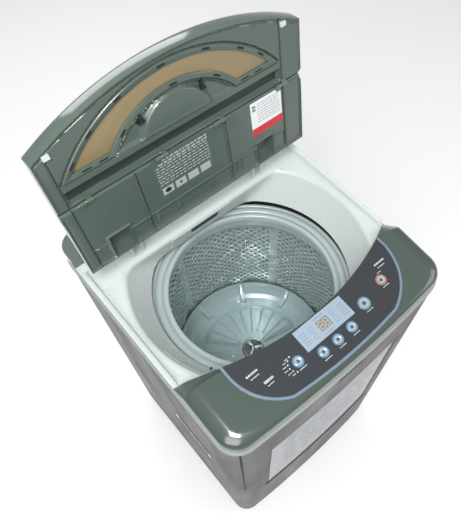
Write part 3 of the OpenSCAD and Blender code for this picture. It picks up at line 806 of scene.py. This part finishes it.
def drum_wall():
    """Steel wall with real holes and a pressed pattern."""
    shape = Shape()
    columns, rows_n = 125, 36
    low, high = drum_low.z + 0.2, drum_high.z - 0.2
    hole_sides = 8

    def at(a, z):
        r = DRUM_R - 1.8 + drum_emboss(a, z)
        return (r * math.cos(a), r * math.sin(a), z)

    corner = [[shape.add([at(math.tau * i / columns, low + (high - low) * j / rows_n)])
               for i in range(columns)] for j in range(rows_n + 1)]
    da, dz = math.tau / columns, (high - low) / rows_n
    for j in range(rows_n):
        for i in range(columns):
            k = (i + 1) % columns
            c = (corner[j][i], corner[j][k], corner[j + 1][k], corner[j + 1][i])
            plain_row = j < 1 or j > rows_n - 2
            if plain_row or (i % 25) in (11, 12) or (i + j) % 2:
                shape.faces.append(c)
                continue
            a0, z0 = (i + 0.5) * da, low + (j + 0.5) * dz
            ring = [shape.add([at(a0 + 0.36 * da * math.cos(t), z0 + 0.33 * dz * math.sin(t))])
                    for t in (math.radians(225 + 45 * s) for s in range(hole_sides))]
            for s in range(4):
                n = (s + 1) % 4
                shape.faces.append((c[s], c[n], ring[(2 * s + 2) % 8], ring[2 * s + 1]))
                shape.faces.append((c[s], ring[2 * s + 1], ring[2 * s]))
    obj = piece("drum_wall", shape, "basket", DRUM, stands_for=["basket_drum"], sharp=80)
    thicken(obj, 0.8)
    seam = Shape().lathe([(DRUM_R - 0.4, drum_low.z), (DRUM_R - 3.2, drum_low.z + 1),
                          (DRUM_R - 3.6, drum_low.z + 5), (DRUM_R - 1.4, drum_low.z + 9)], 144)
    piece("drum_hem", seam, "basket", DRUM)


def tub_ring():
    """The tub's cover seen through the mouth: two beads and a groove, with a dark band outside them that is
    painted shadow under the funnel's lower edge.
    """
    low, high = box_mm("tub_cover")
    top = high.z
    beads = ((179.2, 15), (176.2, 14), (176.0, 3), (177.5, 0.9), (180, 0), (184.5, 0.6), (187.2, 2.2),
             (188.2, 6), (189.4, 6), (190.4, 2.4), (193, 1.2), (201, 1.9), (203.6, 3.0), (204.4, 6),
             (205.6, 6), (206.5, 3.4), (209, 2.6), (212.6, 3.4), (213.6, 9))
    ring = Shape().lathe([(r, top - down) for r, down in beads], 160)
    piece("tub_ring", ring, "tub", TUB, stands_for=["tub_cover"], sharp=55)
    # Painted shadow: a dark band where the funnel's lower edge shades the tub's cover.
    gap = Shape().lathe([(213.7, top - 9), (220, top - 9.5), (232, top - 8), (high.x, top - 12),
                         (high.x, low.z)], 120)
    piece("tub_shadow_band", gap, "tub", SHADE_AND_BLACK, sharp=55)


BLADES = 3
FINS = 24
TABS = 9


def from_line(r, a, middle):
    """Distance sideways from the radial line at angle middle."""
    return abs((a - middle + math.pi) % math.tau - math.pi) * r


def pulsator_top(r, a):
    """Height of the pulsator's top surface: dish, step ring, fins, blades and wall tabs."""
    base = ((36, 452.0), (64, 447.5), (130, 441), (140, 437), (168, 434), (180, 441), (193, 453), (199, 469))
    z = base[0][1] if r < base[0][0] else base[-1][1]
    for (r0, z0), (r1, z1) in zip(base, base[1:]):
        if r0 <= r <= r1:
            z = z0 + (z1 - z0) * (r - r0) / (r1 - r0)
    for k in range(BLADES):
        wide = 8 + 16 * step(30, 140, r)
        ridge = 1 - step(wide * 0.25, wide, from_line(r, a, math.tau * k / BLADES))
        z += 13.5 * ridge * hump(30, 48, 120, 146, r)
    off = ((a * FINS / math.tau) % 1 - 0.5) * math.tau / FINS * r
    z += 2.6 * (1 - step(0.8, 2.6, abs(off))) * hump(52, 64, 124, 136, r)
    for k in range(TABS):
        inside = 1 - step(5.0, 7.4, from_line(r, a, math.radians(20 + 40 * k)))
        if inside > 0 and 150 < r < 197:
            z += max(441 + 0.55 * (r - 150) - z, 0) * inside * step(150, 155, r)
    return z


def pulsator_dish():
    turn = [math.tau * k / 432 for k in range(432)]
    rows = [[(r * math.cos(a), r * math.sin(a), pulsator_top(r, a)) for a in turn]
            for r in spaced(9.0, PULSATOR_R - 1, 3.0, extra=(134, 168))]
    rows += [at_height(circle(r, 432), z) for r, z in
             ((PULSATOR_R - 0.3, 470.0), (PULSATOR_R, 469.0), (PULSATOR_R - 2, 452), (168, 431))]
    piece("pulsator_dish", Shape().grid(rows, around=True), "pulsator", WASH,
          stands_for=["pulsator"], sharp=50)


def pulsator_badge():
    """The chrome cap: a raised rim, three spokes, and pockets between them in a darker copy of the chrome,
    which is painted shade.
    """
    low, high = box_mm("pulsator_cap")
    r = high.x
    rim = Shape().lathe([(r, low.z), (r, low.z + 5.5), (r - 1.2, low.z + 8.2), (r - 4.2, low.z + 10),
                         (r - 6.6, low.z + 9.6), (r - 7.6, low.z + 7.0), (0.01, low.z + 6.0)], 72)
    piece("cap_rim", rim, "pulsator", CHROME, stands_for=["pulsator_cap"], sharp=50)
    # The pockets between the spokes take the darker chrome: painted shade.
    pocket = Shape().lathe([(r - 7.7, low.z + 7.4), (r - 10, low.z + 6.9), (0.01, low.z + 6.4)], 48)
    piece("cap_pockets", pocket, "pulsator", CHROME_SHADED)
    arms = Shape()
    for k in range(3):
        turn = Matrix.Rotation(math.radians(90 + 120 * k), 3, "Z")
        rows = []
        for u, half, top in ((2, 5.0, 13.6), (9, 4.4, 13.2), (16, 5.4, 12.0),
                             (20.5, 7.6, 10.8), (25, 10.0, 9.4)):
            section = ((-1, 6), (-0.8, top - 1.2), (0, top), (0.8, top - 1.2), (1, 6))
            rows.append([turn @ Vector((u, half * across, low.z + up)) for across, up in section])
        arms.grid(rows)
    arms.lathe([(5.6, low.z + 6), (5.4, low.z + 13), (4.2, low.z + 14.3), (0.01, low.z + 14.8)], 24)
    piece("cap_spokes", arms, "pulsator", CHROME, sharp=60)


# ---- Lid ----
def lid_front_y(x, inset=0.0):
    r = LID_FRONT_R - inset
    return ARC_CY - math.sqrt(max(r * r - x * x, 0))


def clear_fold(y, z):
    """Lifts a point of one lid panel out of the space the other panel's edge turns through."""
    if abs(y) < FOLD_SWEEP_R:
        return max(z, FOLD_Z + math.sqrt(FOLD_SWEEP_R ** 2 - y * y))
    return max(z, FOLD_Z + 0.4) if abs(y) < 2 * FOLD_SWEEP_R else z


def groove(d, half, depth):
    """A narrow channel around a line at distance d."""
    return depth * (1 - step(half * 0.5, half, abs(d)))


def bezel_distance(x, y):
    """Outside distance to the window opening's outline."""
    out = math.hypot(x - WINDOW_X, y - WINDOW_OUT[0]) - WINDOW_OUT[1]
    inner = WINDOW_IN[1] - math.hypot(x - WINDOW_X, y - WINDOW_IN[0])
    return max(out, inner, y - WINDOW_FOOT)


def cup_level(x, y):
    """Inside distance to the D shaped dish between the window and the fold line."""
    return min(WINDOW_IN[1] - 13 - math.hypot(x - WINDOW_X, y - WINDOW_IN[0]), -46 - y)


BULGE_Y, BULGE_R = -28.0, 76.0


def liner_edge(rim):
    """The liner's plain height, with a low lip along the panel's rim."""
    return LINER_Z - 5.0 * (1 - step(2.2, 4.6, rim))


def side_grooves(x, rim):
    """A groove near each end of a panel, with the lower strip outside it."""
    rise = 0.0
    for inward in (x - GROOVE_LEFT, GROOVE_RIGHT - x):
        rise += groove(inward, 1.3, 2.6) - 1.6 * (1 - step(-3, -0.5, inward)) * step(3, 6, rim)
    return rise


def front_inside(x, y):
    """Height of the front panel's inner face; higher is deeper when seen from inside."""
    arc = LID_FRONT_R - math.hypot(x, y - ARC_CY)
    rim = min(LID_HALF - abs(x), arc)
    z = liner_edge(rim) + groove(arc - 8.5, 1.6, 1.4) + side_grooves(x, rim)
    z += groove(bezel_distance(x, y) - 11.5, 1.5, 4.0)
    between = min(x - GROOVE_LEFT, GROOVE_RIGHT - x)
    if between > 0:
        z += 11.0 * hump(-34, -27, -10, -6, y) * step(0, 6, between)
    z += 5.5 * step(0, 5, cup_level(x, y))
    if abs(x - WINDOW_X) < 80 and -104 < y < -38:
        bulge = BULGE_R - math.hypot(x - WINDOW_X, y - BULGE_Y)
        z -= 8.5 * step(0, 7, min(bulge, -44 - y))
    return clear_fold(y, max(z, LID_LOW + 0.3))


def rear_inside(x, y):
    """Height of the rear panel's inner face, with its ribs and hinge pockets."""
    rim = min(LID_HALF - abs(x), LID_REAR_Y - y)
    z = liner_edge(rim) + side_grooves(x, rim)
    between = min(x - GROOVE_LEFT, GROOVE_RIGHT - x)
    if between > 1.5:
        for rib in RIBS:
            z += groove(x - rib - 3.4, 1.4, 2.2) - groove(x - rib, 1.7, 2.6)
        z -= groove(y - 106, 1.5, 2.4) * step(2, 5, between)
        z += 2.0 * hump(107, 112, 138, 142, y)
        for tick in (-100, -52, 24, 88, 100):
            z -= groove(x - tick, 1.3, 3.4) * hump(108, 110, 132, 134, y)
    for hinge in HINGE_POCKETS:
        wall = max(abs(x - hinge) - 21, abs(y - 122) - 25)
        z += 15.0 * (1 - step(-3.5, 0.5, wall)) - groove(wall - 1.6, 1.5, 3.0)
    return clear_fold(y, max(z, LID_LOW + 0.3))


def lid_shell(name, outline_at, body, stands_for):
    """Outer skin of one lid panel: its walls and a rounded shoulder."""
    shape = Shape()
    rows = [[(x, y, clear_fold(y, z)) for x, y in outline_at(inset)] for inset, z in
            ((1.6, LID_LOW + 0.6), (0.4, LID_LOW), (0, LID_LOW + 0.8), (0, LID_TOP - 9), (0.8, LID_TOP - 5),
             (3.0, LID_TOP - 2.0), (6.5, LID_TOP - 0.5), (11, LID_TOP))]
    shape.grid(rows, around=True)
    piece(name, shape, body, SAGE_GLOSS, opened, stands_for, sharp=50)


def panel_outline(inset, near_edge, far_edge, across, along):
    """A panel's outline: the near edge to the right, the far edge back, and plain sides between."""
    half = LID_HALF - inset
    xs = even(-half, half, across)
    near, far = near_edge(half), far_edge(half)
    sides = even(near, far, along)[1:-1]
    return ([(x, near_edge(x)) for x in xs] + [(half, y) for y in sides]
            + [(x, far_edge(x)) for x in reversed(xs)] + [(-half, y) for y in reversed(sides)])


def rear_outline(inset):
    """Outline of the rear panel with the same count at each inset."""
    near = FOLD_Y + FOLD_GAP + min(inset, FOLD_GAP)
    return panel_outline(inset, lambda x: near, lambda x: LID_REAR_Y - inset, 60, 8)


def front_outline(inset):
    """Outline of the front panel with the same count at each inset."""
    back = FOLD_Y - FOLD_GAP - min(inset, FOLD_GAP)
    return panel_outline(inset, lambda x: lid_front_y(x, inset), lambda x: back, 90, 10)


def lid_tops():
    """The flat outer faces inside the rounded shoulders."""
    inset = 11
    rear = Shape().cap(at_height(rear_outline(inset), LID_TOP))
    piece("lid_rear_top", rear, "lid_rear", SAGE_GLOSS, opened)
    rows = [[(x, y, LID_TOP) for y in even(lid_front_y(x, inset), -2 * FOLD_GAP, 60)]
            for x in spaced(-LID_HALF + inset, LID_HALF - inset, 3.0)]
    front = Shape().grid(rows, keep=lambda p: bezel_distance(p.x, p.y) > 1.5 and not in_cup(p))
    piece("lid_front_top", front, "lid_front", SAGE_GLOSS, opened)


def in_cup(p):
    return abs(p.x - WINDOW_X) < 66 and abs(p.y + 74) < 20


def lid_liners():
    """The moulded inner faces of both lid panels."""
    edge = LID_HALF - 0.8
    grooves = (GROOVE_LEFT, GROOVE_RIGHT)
    walls = [hinge + side * 21 for hinge in HINGE_POCKETS for side in (-1, 1)]
    xs = spaced(-edge, edge, 4.0, extra=(*grooves, *RIBS, *(rib + 3.4 for rib in RIBS), *walls))
    ys = spaced(FOLD_Y + 1.9, LID_REAR_Y - 0.8, 3.5, extra=(3.2, 4.7, 5.4, 9.4, 10.2, 106, 97, 145))
    rear = Shape().grid([[(x, y, rear_inside(x, y)) for y in ys] for x in xs])
    piece("lid_rear_liner", rear, "lid_rear", SAGE, opened, sharp=28)
    rows = [[(x, y, front_inside(x, y)) for y in even(lid_front_y(x, 0.8), -1.9, 96)]
            for x in spaced(-edge, edge, 2.6, extra=grooves)]
    front = Shape().grid(rows, keep=lambda p: bezel_distance(p.x, p.y) > 4)
    piece("lid_front_liner", front, "lid_front", SAGE, opened, sharp=28)


def window_loop(grow, count=120):
    """The window opening's outline moved outwards by grow: outer arc, foot, inner arc, foot."""
    oy, orad = WINDOW_OUT[0], WINDOW_OUT[1] + grow
    iy, irad = WINDOW_IN[0], WINDOW_IN[1] - grow
    foot = WINDOW_FOOT + grow
    a_out = math.acos((oy - foot) / orad)
    a_in = math.acos((iy - foot) / irad)
    pts = [(orad * math.sin(a), oy - orad * math.cos(a)) for a in even(-a_out, a_out, count)]
    x0, x1 = pts[-1][0], irad * math.sin(a_in)
    pts += [(x, foot) for x in even(x0, x1, 8)[1:-1]]
    pts += [(irad * math.sin(a), iy - irad * math.cos(a)) for a in even(a_in, -a_in, count)]
    pts += [(x, foot) for x in even(-x1, -x0, 8)[1:-1]]
    return [(x + WINDOW_X, y) for x, y in pts]


def window_wall(levels):
    """A wall round the window opening through each (grow, height)."""
    return Shape().grid([at_height(window_loop(grow), z) for grow, z in levels], around=True)


def window_parts():
    """The window's inner bezel, outer frame and amber pane."""
    bezel = window_wall(((10.2, LINER_Z + 4), (10.2, LINER_Z - 0.6), (9.2, LINER_Z - 1.6),
                         (1.6, LINER_Z - 1.6), (0.4, LINER_Z - 0.6), (0.2, LINER_Z + 6)))
    piece("window_bezel", bezel, "lid_front", SAGE, opened, sharp=40)
    outer = window_wall(((0.2, LINER_Z + 4), (0.2, LID_TOP - 0.4), (0.9, LID_TOP), (4.5, LID_TOP),
                         (5, LID_TOP - 1.0)))
    piece("window_frame", outer, "lid_front", SAGE_GLOSS, opened, sharp=40)
    low, high = (at_height(window_loop(1.0), LINER_Z + up) for up in (2.2, 5.0))
    pane = Shape().cap(low, flip=True).cap(high).grid([low, high], around=True)
    piece("window_pane", pane, "lid_front", AMBER, opened, ["lid_window"])
    clip_slots()


def clip_slots():
    """Dark slots of the window's clips, along both arcs and both feet of the bezel."""
    slots = Shape()
    for radius, cy, angles in ((WINDOW_OUT[1] + 5.6, WINDOW_OUT[0], (-44.5, -33, -19, -1.5, 16, 31, 41.5)),
                               (WINDOW_IN[1] - 5.6, WINDOW_IN[0], (-38, 2, 33))):
        for a in map(math.radians, angles):
            turn = (Matrix.Translation((WINDOW_X + radius * math.sin(a), cy - radius * math.cos(a), 0))
                    @ Matrix.Rotation(a, 4, "Z"))
            first = len(slots.points)
            slots.block((-7, -1.9, LINER_Z - 2.0), (7, 1.9, LINER_Z + 1))
            slots.points[first:] = [turn @ p for p in slots.points[first:]]
    for x in (-172, -142, 142, 172):
        slots.block((WINDOW_X + x - 8, WINDOW_FOOT + 3.6, LINER_Z - 1.9),
                    (WINDOW_X + x + 8, WINDOW_FOOT + 6.4, LINER_Z + 1))
    piece("window_clip_slots", slots, "lid_front", SHADE_AND_BLACK, opened)


def lid_cup():
    """The finger cup on the lid's outer face and its dark clips inside."""
    def loop(grow, z):
        outline = rounded_box((-56, -84), (56, -64), 12 + grow, 8)
        return [(WINDOW_X + x, y, z) for x, y in outline]

    rows = [loop(grow, z) for grow, z in
            ((2.5, LID_TOP - 1), (2.5, LID_TOP), (0.6, LID_TOP), (-0.4, LID_TOP - 1.0),
             (-2.5, LINER_Z + 10), (-6, LINER_Z + 6), (-11, LINER_Z + 5))]
    cup = Shape().grid(rows, around=True).cap(rows[-1])
    piece("handle_dish", cup, "lid_front", SAGE_GLOSS, opened, ["handle_cup"], sharp=50)
    clips = Shape()
    for x in (WINDOW_X - 64, WINDOW_X + 56):
        clips.block((x - 2.6, -93, LINER_Z - 3.4), (x + 2.6, -76, LINER_Z + 5))
        clips.block((x - 6.5, -79, LINER_Z - 2.4), (x + 6.5, -75.5, LINER_Z + 5))
    piece("cup_clips", clips, "lid_front", SHADE_AND_BLACK, opened, soften=0.6)


def lid_details():
    """The two white buffers, the knuckles on the fold line and the hinge arms."""
    bumpers = Shape()
    bumpers.block((-236, -111, LID_LOW + 0.2), (-224, -102, LID_LOW + 8))
    bumpers.block((214, -116, LID_LOW + 0.2), (226, -107, LID_LOW + 8))
    piece("lid_bumpers", bumpers, "lid_front", WHITE, opened, soften=1.2)
    fixed, swung, arms = Shape(), Shape(), Shape()
    for x in FOLD_PLACES:
        for shape, side, a, b in ((fixed, 1, x - 13, x - 0.6), (swung, -1, x + 0.6, x + 13)):
            shape.bar(circle(4.1, 20, (0, FOLD_Z)), a, b)
            y0, y1 = sorted((0, side * 9))
            shape.block((a + 1.5, y0, FOLD_Z - 1.2), (b - 1.5, y1, FOLD_Z + 3.4))
    piece("fold_knuckles_rear", fixed, "lid_rear", SAGE_GLOSS, opened, soften=0.4)
    piece("fold_knuckles_front", swung, "lid_front", SAGE_GLOSS, opened, soften=0.4)
    root_y = LID_REAR_Y - 6
    outline = [(root_y, LID_TOP), (root_y, LID_TOP - 10), (PIVOT_Y, PIVOT_Z - 7),
               *arc_points(PIVOT_Y, PIVOT_Z, 7, -80, 170, 10)]
    for x in (-PIN_REACH, PIN_REACH):
        arms.bar(outline, x - 6.4, x + 6.4)
    piece("lid_arms", arms, "lid_rear", SAGE, opened, soften=0.8)


def lid_trough_shade():
    """A darker copy of the sage on the floor of the channel between the window and the fold line: painted
    shade in the channel.
    """
    shape = Shape().grid([[(x, y, front_inside(x, y) - 0.35) for y in (-27, -22, -17, -12, -9.5)]
                          for x in spaced(GROOVE_LEFT + 6, GROOVE_RIGHT - 6, 7.0)])
    piece("lid_trough_shade", shape, "lid_front", SAGE_PAINTED_SHADE, opened)


def label_piece(name, shape, material):
    piece(name, shape, "lid_rear", material, opened)


def labels():
    """Two generic labels on the rear panel's inner face, with no lettering."""
    up = LINER_Z - 0.25
    rng = random.Random(3)
    label_piece("label_film", Shape().block((-84, 2, up), (36, 88, up + 0.3)), SAGE_GLOSS)
    lines, spots = Shape(), Shape()
    for row in range(9):
        y = 8 + row * 6.2
        start, high = (-72, 3.4) if row < 2 else (-79, 2.0)
        for x, wide in word_runs(rng, start, 28, 32, 3.5, 10.5, 2.4):
            lines.block((x, y, up - 0.1), (x + wide, y + high, up + 0.1))
    for x in (-78, -50, -22, 6):
        lines.block((x, 67, up - 0.1), (x + 23, 83, up + 0.1))
    label_piece("label_print", lines, FILM)
    for x, wide, high in ((-66.5, 6.5, 5), (-38.5, 3.0, 2.4)):
        loop = [(x + wide * u, 75 + high * v, up - 0.2) for u, v in circle(1, 20)]
        spots.cap(loop, flip=True)
    label_piece("label_spots", spots, SHADE_AND_BLACK)
    notice(up, rng)


def notice(up, rng):
    """The white sheet with its red band and small grey print."""
    label_piece("notice_sheet", Shape().block((133, 5, up), (208, 78, up + 0.3)), PAPER)
    label_piece("notice_band", Shape().block((133, 62, up - 0.12), (208, 78, up)), RED)
    grey = Shape()
    for row in range(8):
        y = 12 + row * 5.6
        for x, wide in word_runs(rng, 149, 201, 203, 3, 9, 1.4):
            grey.block((x, y, up - 0.12), (x + wide, y + 1.2, up))
    for y in (12, 19):
        grey.block((137, y, up - 0.12), (145, y + 5, up))
    label_piece("notice_print", grey, PRINT_DARK)


# ---- Hidden parts ----
def coil_springs():
    low, high = box_mm("suspension_springs")
    rod_low, rod_high = box_mm("suspension_rods")
    cx = (rod_high.x - rod_low.x) / 2 - 13
    cy = (rod_high.y - rod_low.y) / 2 - 13
    wire, turns = 1.6, 7
    for k, (sx, sy) in enumerate(((1, 1), (-1, 1), (-1, -1), (1, -1))):
        path = []
        for i in range(turns * 16 + 1):
            a = math.tau * i / 16
            z = low.z + wire + (high.z - low.z - 2 * wire) * i / (turns * 16)
            path.append((sx * cx + 9.2 * math.cos(a), sy * cy + 9.2 * math.sin(a), z))
        name = "spring_%d" % k
        mesh_piece = piece(name, Shape().tube(path, wire, 8), "root", STEEL)
        if k == 0:
            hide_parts("suspension_springs")
        mesh_piece.parent = None
        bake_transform(mesh_piece)


def corrugated_hose():
    low, high = box_mm("drain_hose")
    cx, cy = (low.x + high.x) / 2, (low.y + high.y) / 2
    r = (high.x - low.x) / 2
    profile = []
    count = 150
    for i in range(count + 1):
        z = low.z + (high.z - low.z) * i / count
        profile.append((r - 1.6 + 1.5 * math.sin(math.tau * i / 6), z))
    obj = piece("corrugated_hose", Shape().lathe(profile, 40, (cx, cy)), "root", HOSE,
                stands_for=["drain_hose"], sharp=80)
    obj.parent = None
    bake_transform(obj)


# ---- Finishes of the CAD nodes that stay ----
KEPT = {
    "cabinet_paint": PAINT, "galvanised": ZINC, "base_plastic": BLACK, "rubber": RUBBER, "steel": STEEL,
    "sage": SAGE_GLOSS, "white": WHITE, "overlay_black": OVERLAY, "trim_blue": TRIM, "display_silver": PLATE,
    "display_dark": SMOKED, "ring_blue": BLUE, "ring_copper": COPPER, "button": BUTTON,
    "circuit_board": GREEN_BOARD, "inner_plastic": NATURAL, "tub_green": TUB, "pulsator_green": WASH,
    "drum_steel": DRUM, "chrome": CHROME, "cast_aluminium": CAST, "copper_winding": WINDING,
    "belt_rubber": BELT, "hose_rubber": HOSE, "grille_dark": GRILLE, "amber": AMBER,
}
ROUNDED = {"rear_deck_cover": 2.0, "overlay_trim": 0.6, "display_plate": 0.4, "side_grips": 0.9,
           "rear_panel": 0.5, "base_frame": 0.4, "outer_tub": 0.4, "fixed_feet": 1.0, "levelling_foot": 1.0}


def dress_cad_nodes():
    for row in frame["record"]["subparts"]:
        obj = frame["nodes"][row["node"]]
        obj.data.materials.clear()
        obj.data.materials.append(KEPT[row["material_slot"]])
        if row["node"] in ROUNDED:
            soften_edges(obj, ROUNDED[row["node"]], 50)


# ---- Stage, lights and camera ----
def studio_floor():
    floor_mesh = bpy.data.meshes.new("floor")
    half, drop = 30.0, -0.0005
    places = even(-half, half, 24)
    # This sheet is laid out in metres, so its points are used as they are.
    sheet = Shape().grid([[(x, y, drop) for x in places] for y in places])
    floor_mesh.from_pydata(sheet.points, [], sheet.faces)
    floor = bpy.data.objects.new("floor", floor_mesh)
    bpy.context.scene.collection.objects.link(floor)
    matt = finish_of("floor", (250, 250, 250), rough=0.8, grain=60, bump=0.02, tone=0.99, spec=0.1)
    floor_mesh.materials.append(matt)


def soft_light(name, place, aim, size, power):
    """A rectangular light turned towards a point."""
    data = bpy.data.lights.new(name, "AREA")
    data.shape = "RECTANGLE"
    data.size, data.size_y = size
    data.energy = power
    lamp = bpy.data.objects.new(name, data)
    lamp.location = place
    lamp.rotation_euler = (Vector(aim) - Vector(place)).to_track_quat("-Z", "Y").to_euler()
    bpy.context.scene.collection.objects.link(lamp)


def studio_world():
    world = bpy.data.worlds.new("studio")
    world.use_nodes = True
    n, link = world.node_tree.nodes, world.node_tree.links.new
    sky = n["Background"]
    where = n.new("ShaderNodeTexCoord")
    parts = n.new("ShaderNodeSeparateXYZ")
    ramp = n.new("ShaderNodeValToRGB")
    link(where.outputs["Generated"], parts.inputs["Vector"])
    link(parts.outputs["Z"], ramp.inputs["Fac"])
    stops = ramp.color_ramp.elements
    stops[0].position = 0.0
    stops[0].color = (0.62, 0.62, 0.62, 1)
    stops[1].position = 0.9
    stops[1].color = (0.95, 0.96, 0.97, 1)
    stops.new(0.35).color = (0.5, 0.5, 0.5, 1)
    link(ramp.outputs["Color"], sky.inputs["Color"])
    sky.inputs["Strength"].default_value = 0.72
    bpy.context.scene.world = world


CAMERA_PLACE = (-0.33885, -0.41361, 1.81514)
CAMERA_RIGHT = (0.74827, -0.66285, 0.02682)
CAMERA_DOWN = (-0.57372, -0.66690, -0.47549)
CAMERA_AHEAD = (0.33307, 0.34041, -0.87931)
CAMERA_LENS = 36.794
CAMERA_SHIFT = (-0.08422, 0.05000)


def studio_camera():
    data = bpy.data.cameras.new("camera")
    data.sensor_width = 36
    data.lens = CAMERA_LENS
    data.shift_x, data.shift_y = CAMERA_SHIFT
    camera = bpy.data.objects.new("camera", data)
    right, up, back = Vector(CAMERA_RIGHT), -Vector(CAMERA_DOWN), -Vector(CAMERA_AHEAD)
    turn = Matrix((right, up, back)).transposed().to_4x4()
    camera.matrix_world = Matrix.Translation(CAMERA_PLACE) @ turn
    bpy.context.scene.collection.objects.link(camera)
    bpy.context.scene.camera = camera


dress_cad_nodes()
cabinet_body()
front_sheet()
front_slot_shade()
corner_reflection_streak()
top_frame_shell()
rear_insert()
inlet_slots()
softener_lid()
hinge_posts()
deck_plates()
console_shell()
push_buttons()
printed_marks()
drum_wall()
tub_ring()
pulsator_dish()
pulsator_badge()
lid_shell("lid_rear_skin", rear_outline, "lid_rear", ["lid_rear_panel"])
lid_shell("lid_front_skin", front_outline, "lid_front", ["lid_front_panel"])
lid_tops()
lid_liners()
window_parts()
lid_cup()
lid_details()
lid_trough_shade()
labels()
coil_springs()
corrugated_hose()
studio_floor()
studio_world()
soft_light("key", (-1.7, -1.3, 2.7), (0, 0, 0.8), (1.4, 1.4), 34)
soft_light("fill", (2.2, -1.6, 2.0), (0, 0, 0.7), (1.6, 1.2), 14)
soft_light("back", (0.4, 2.4, 2.4), (0, 0, 1.0), (2.0, 1.0), 20)
soft_light("overhead", (-0.6, -0.55, 2.6), (0, 0.05, 0.6), (0.5, 0.5), 24)
studio_camera()
bpy.context.scene.view_settings.view_transform = "Standard"
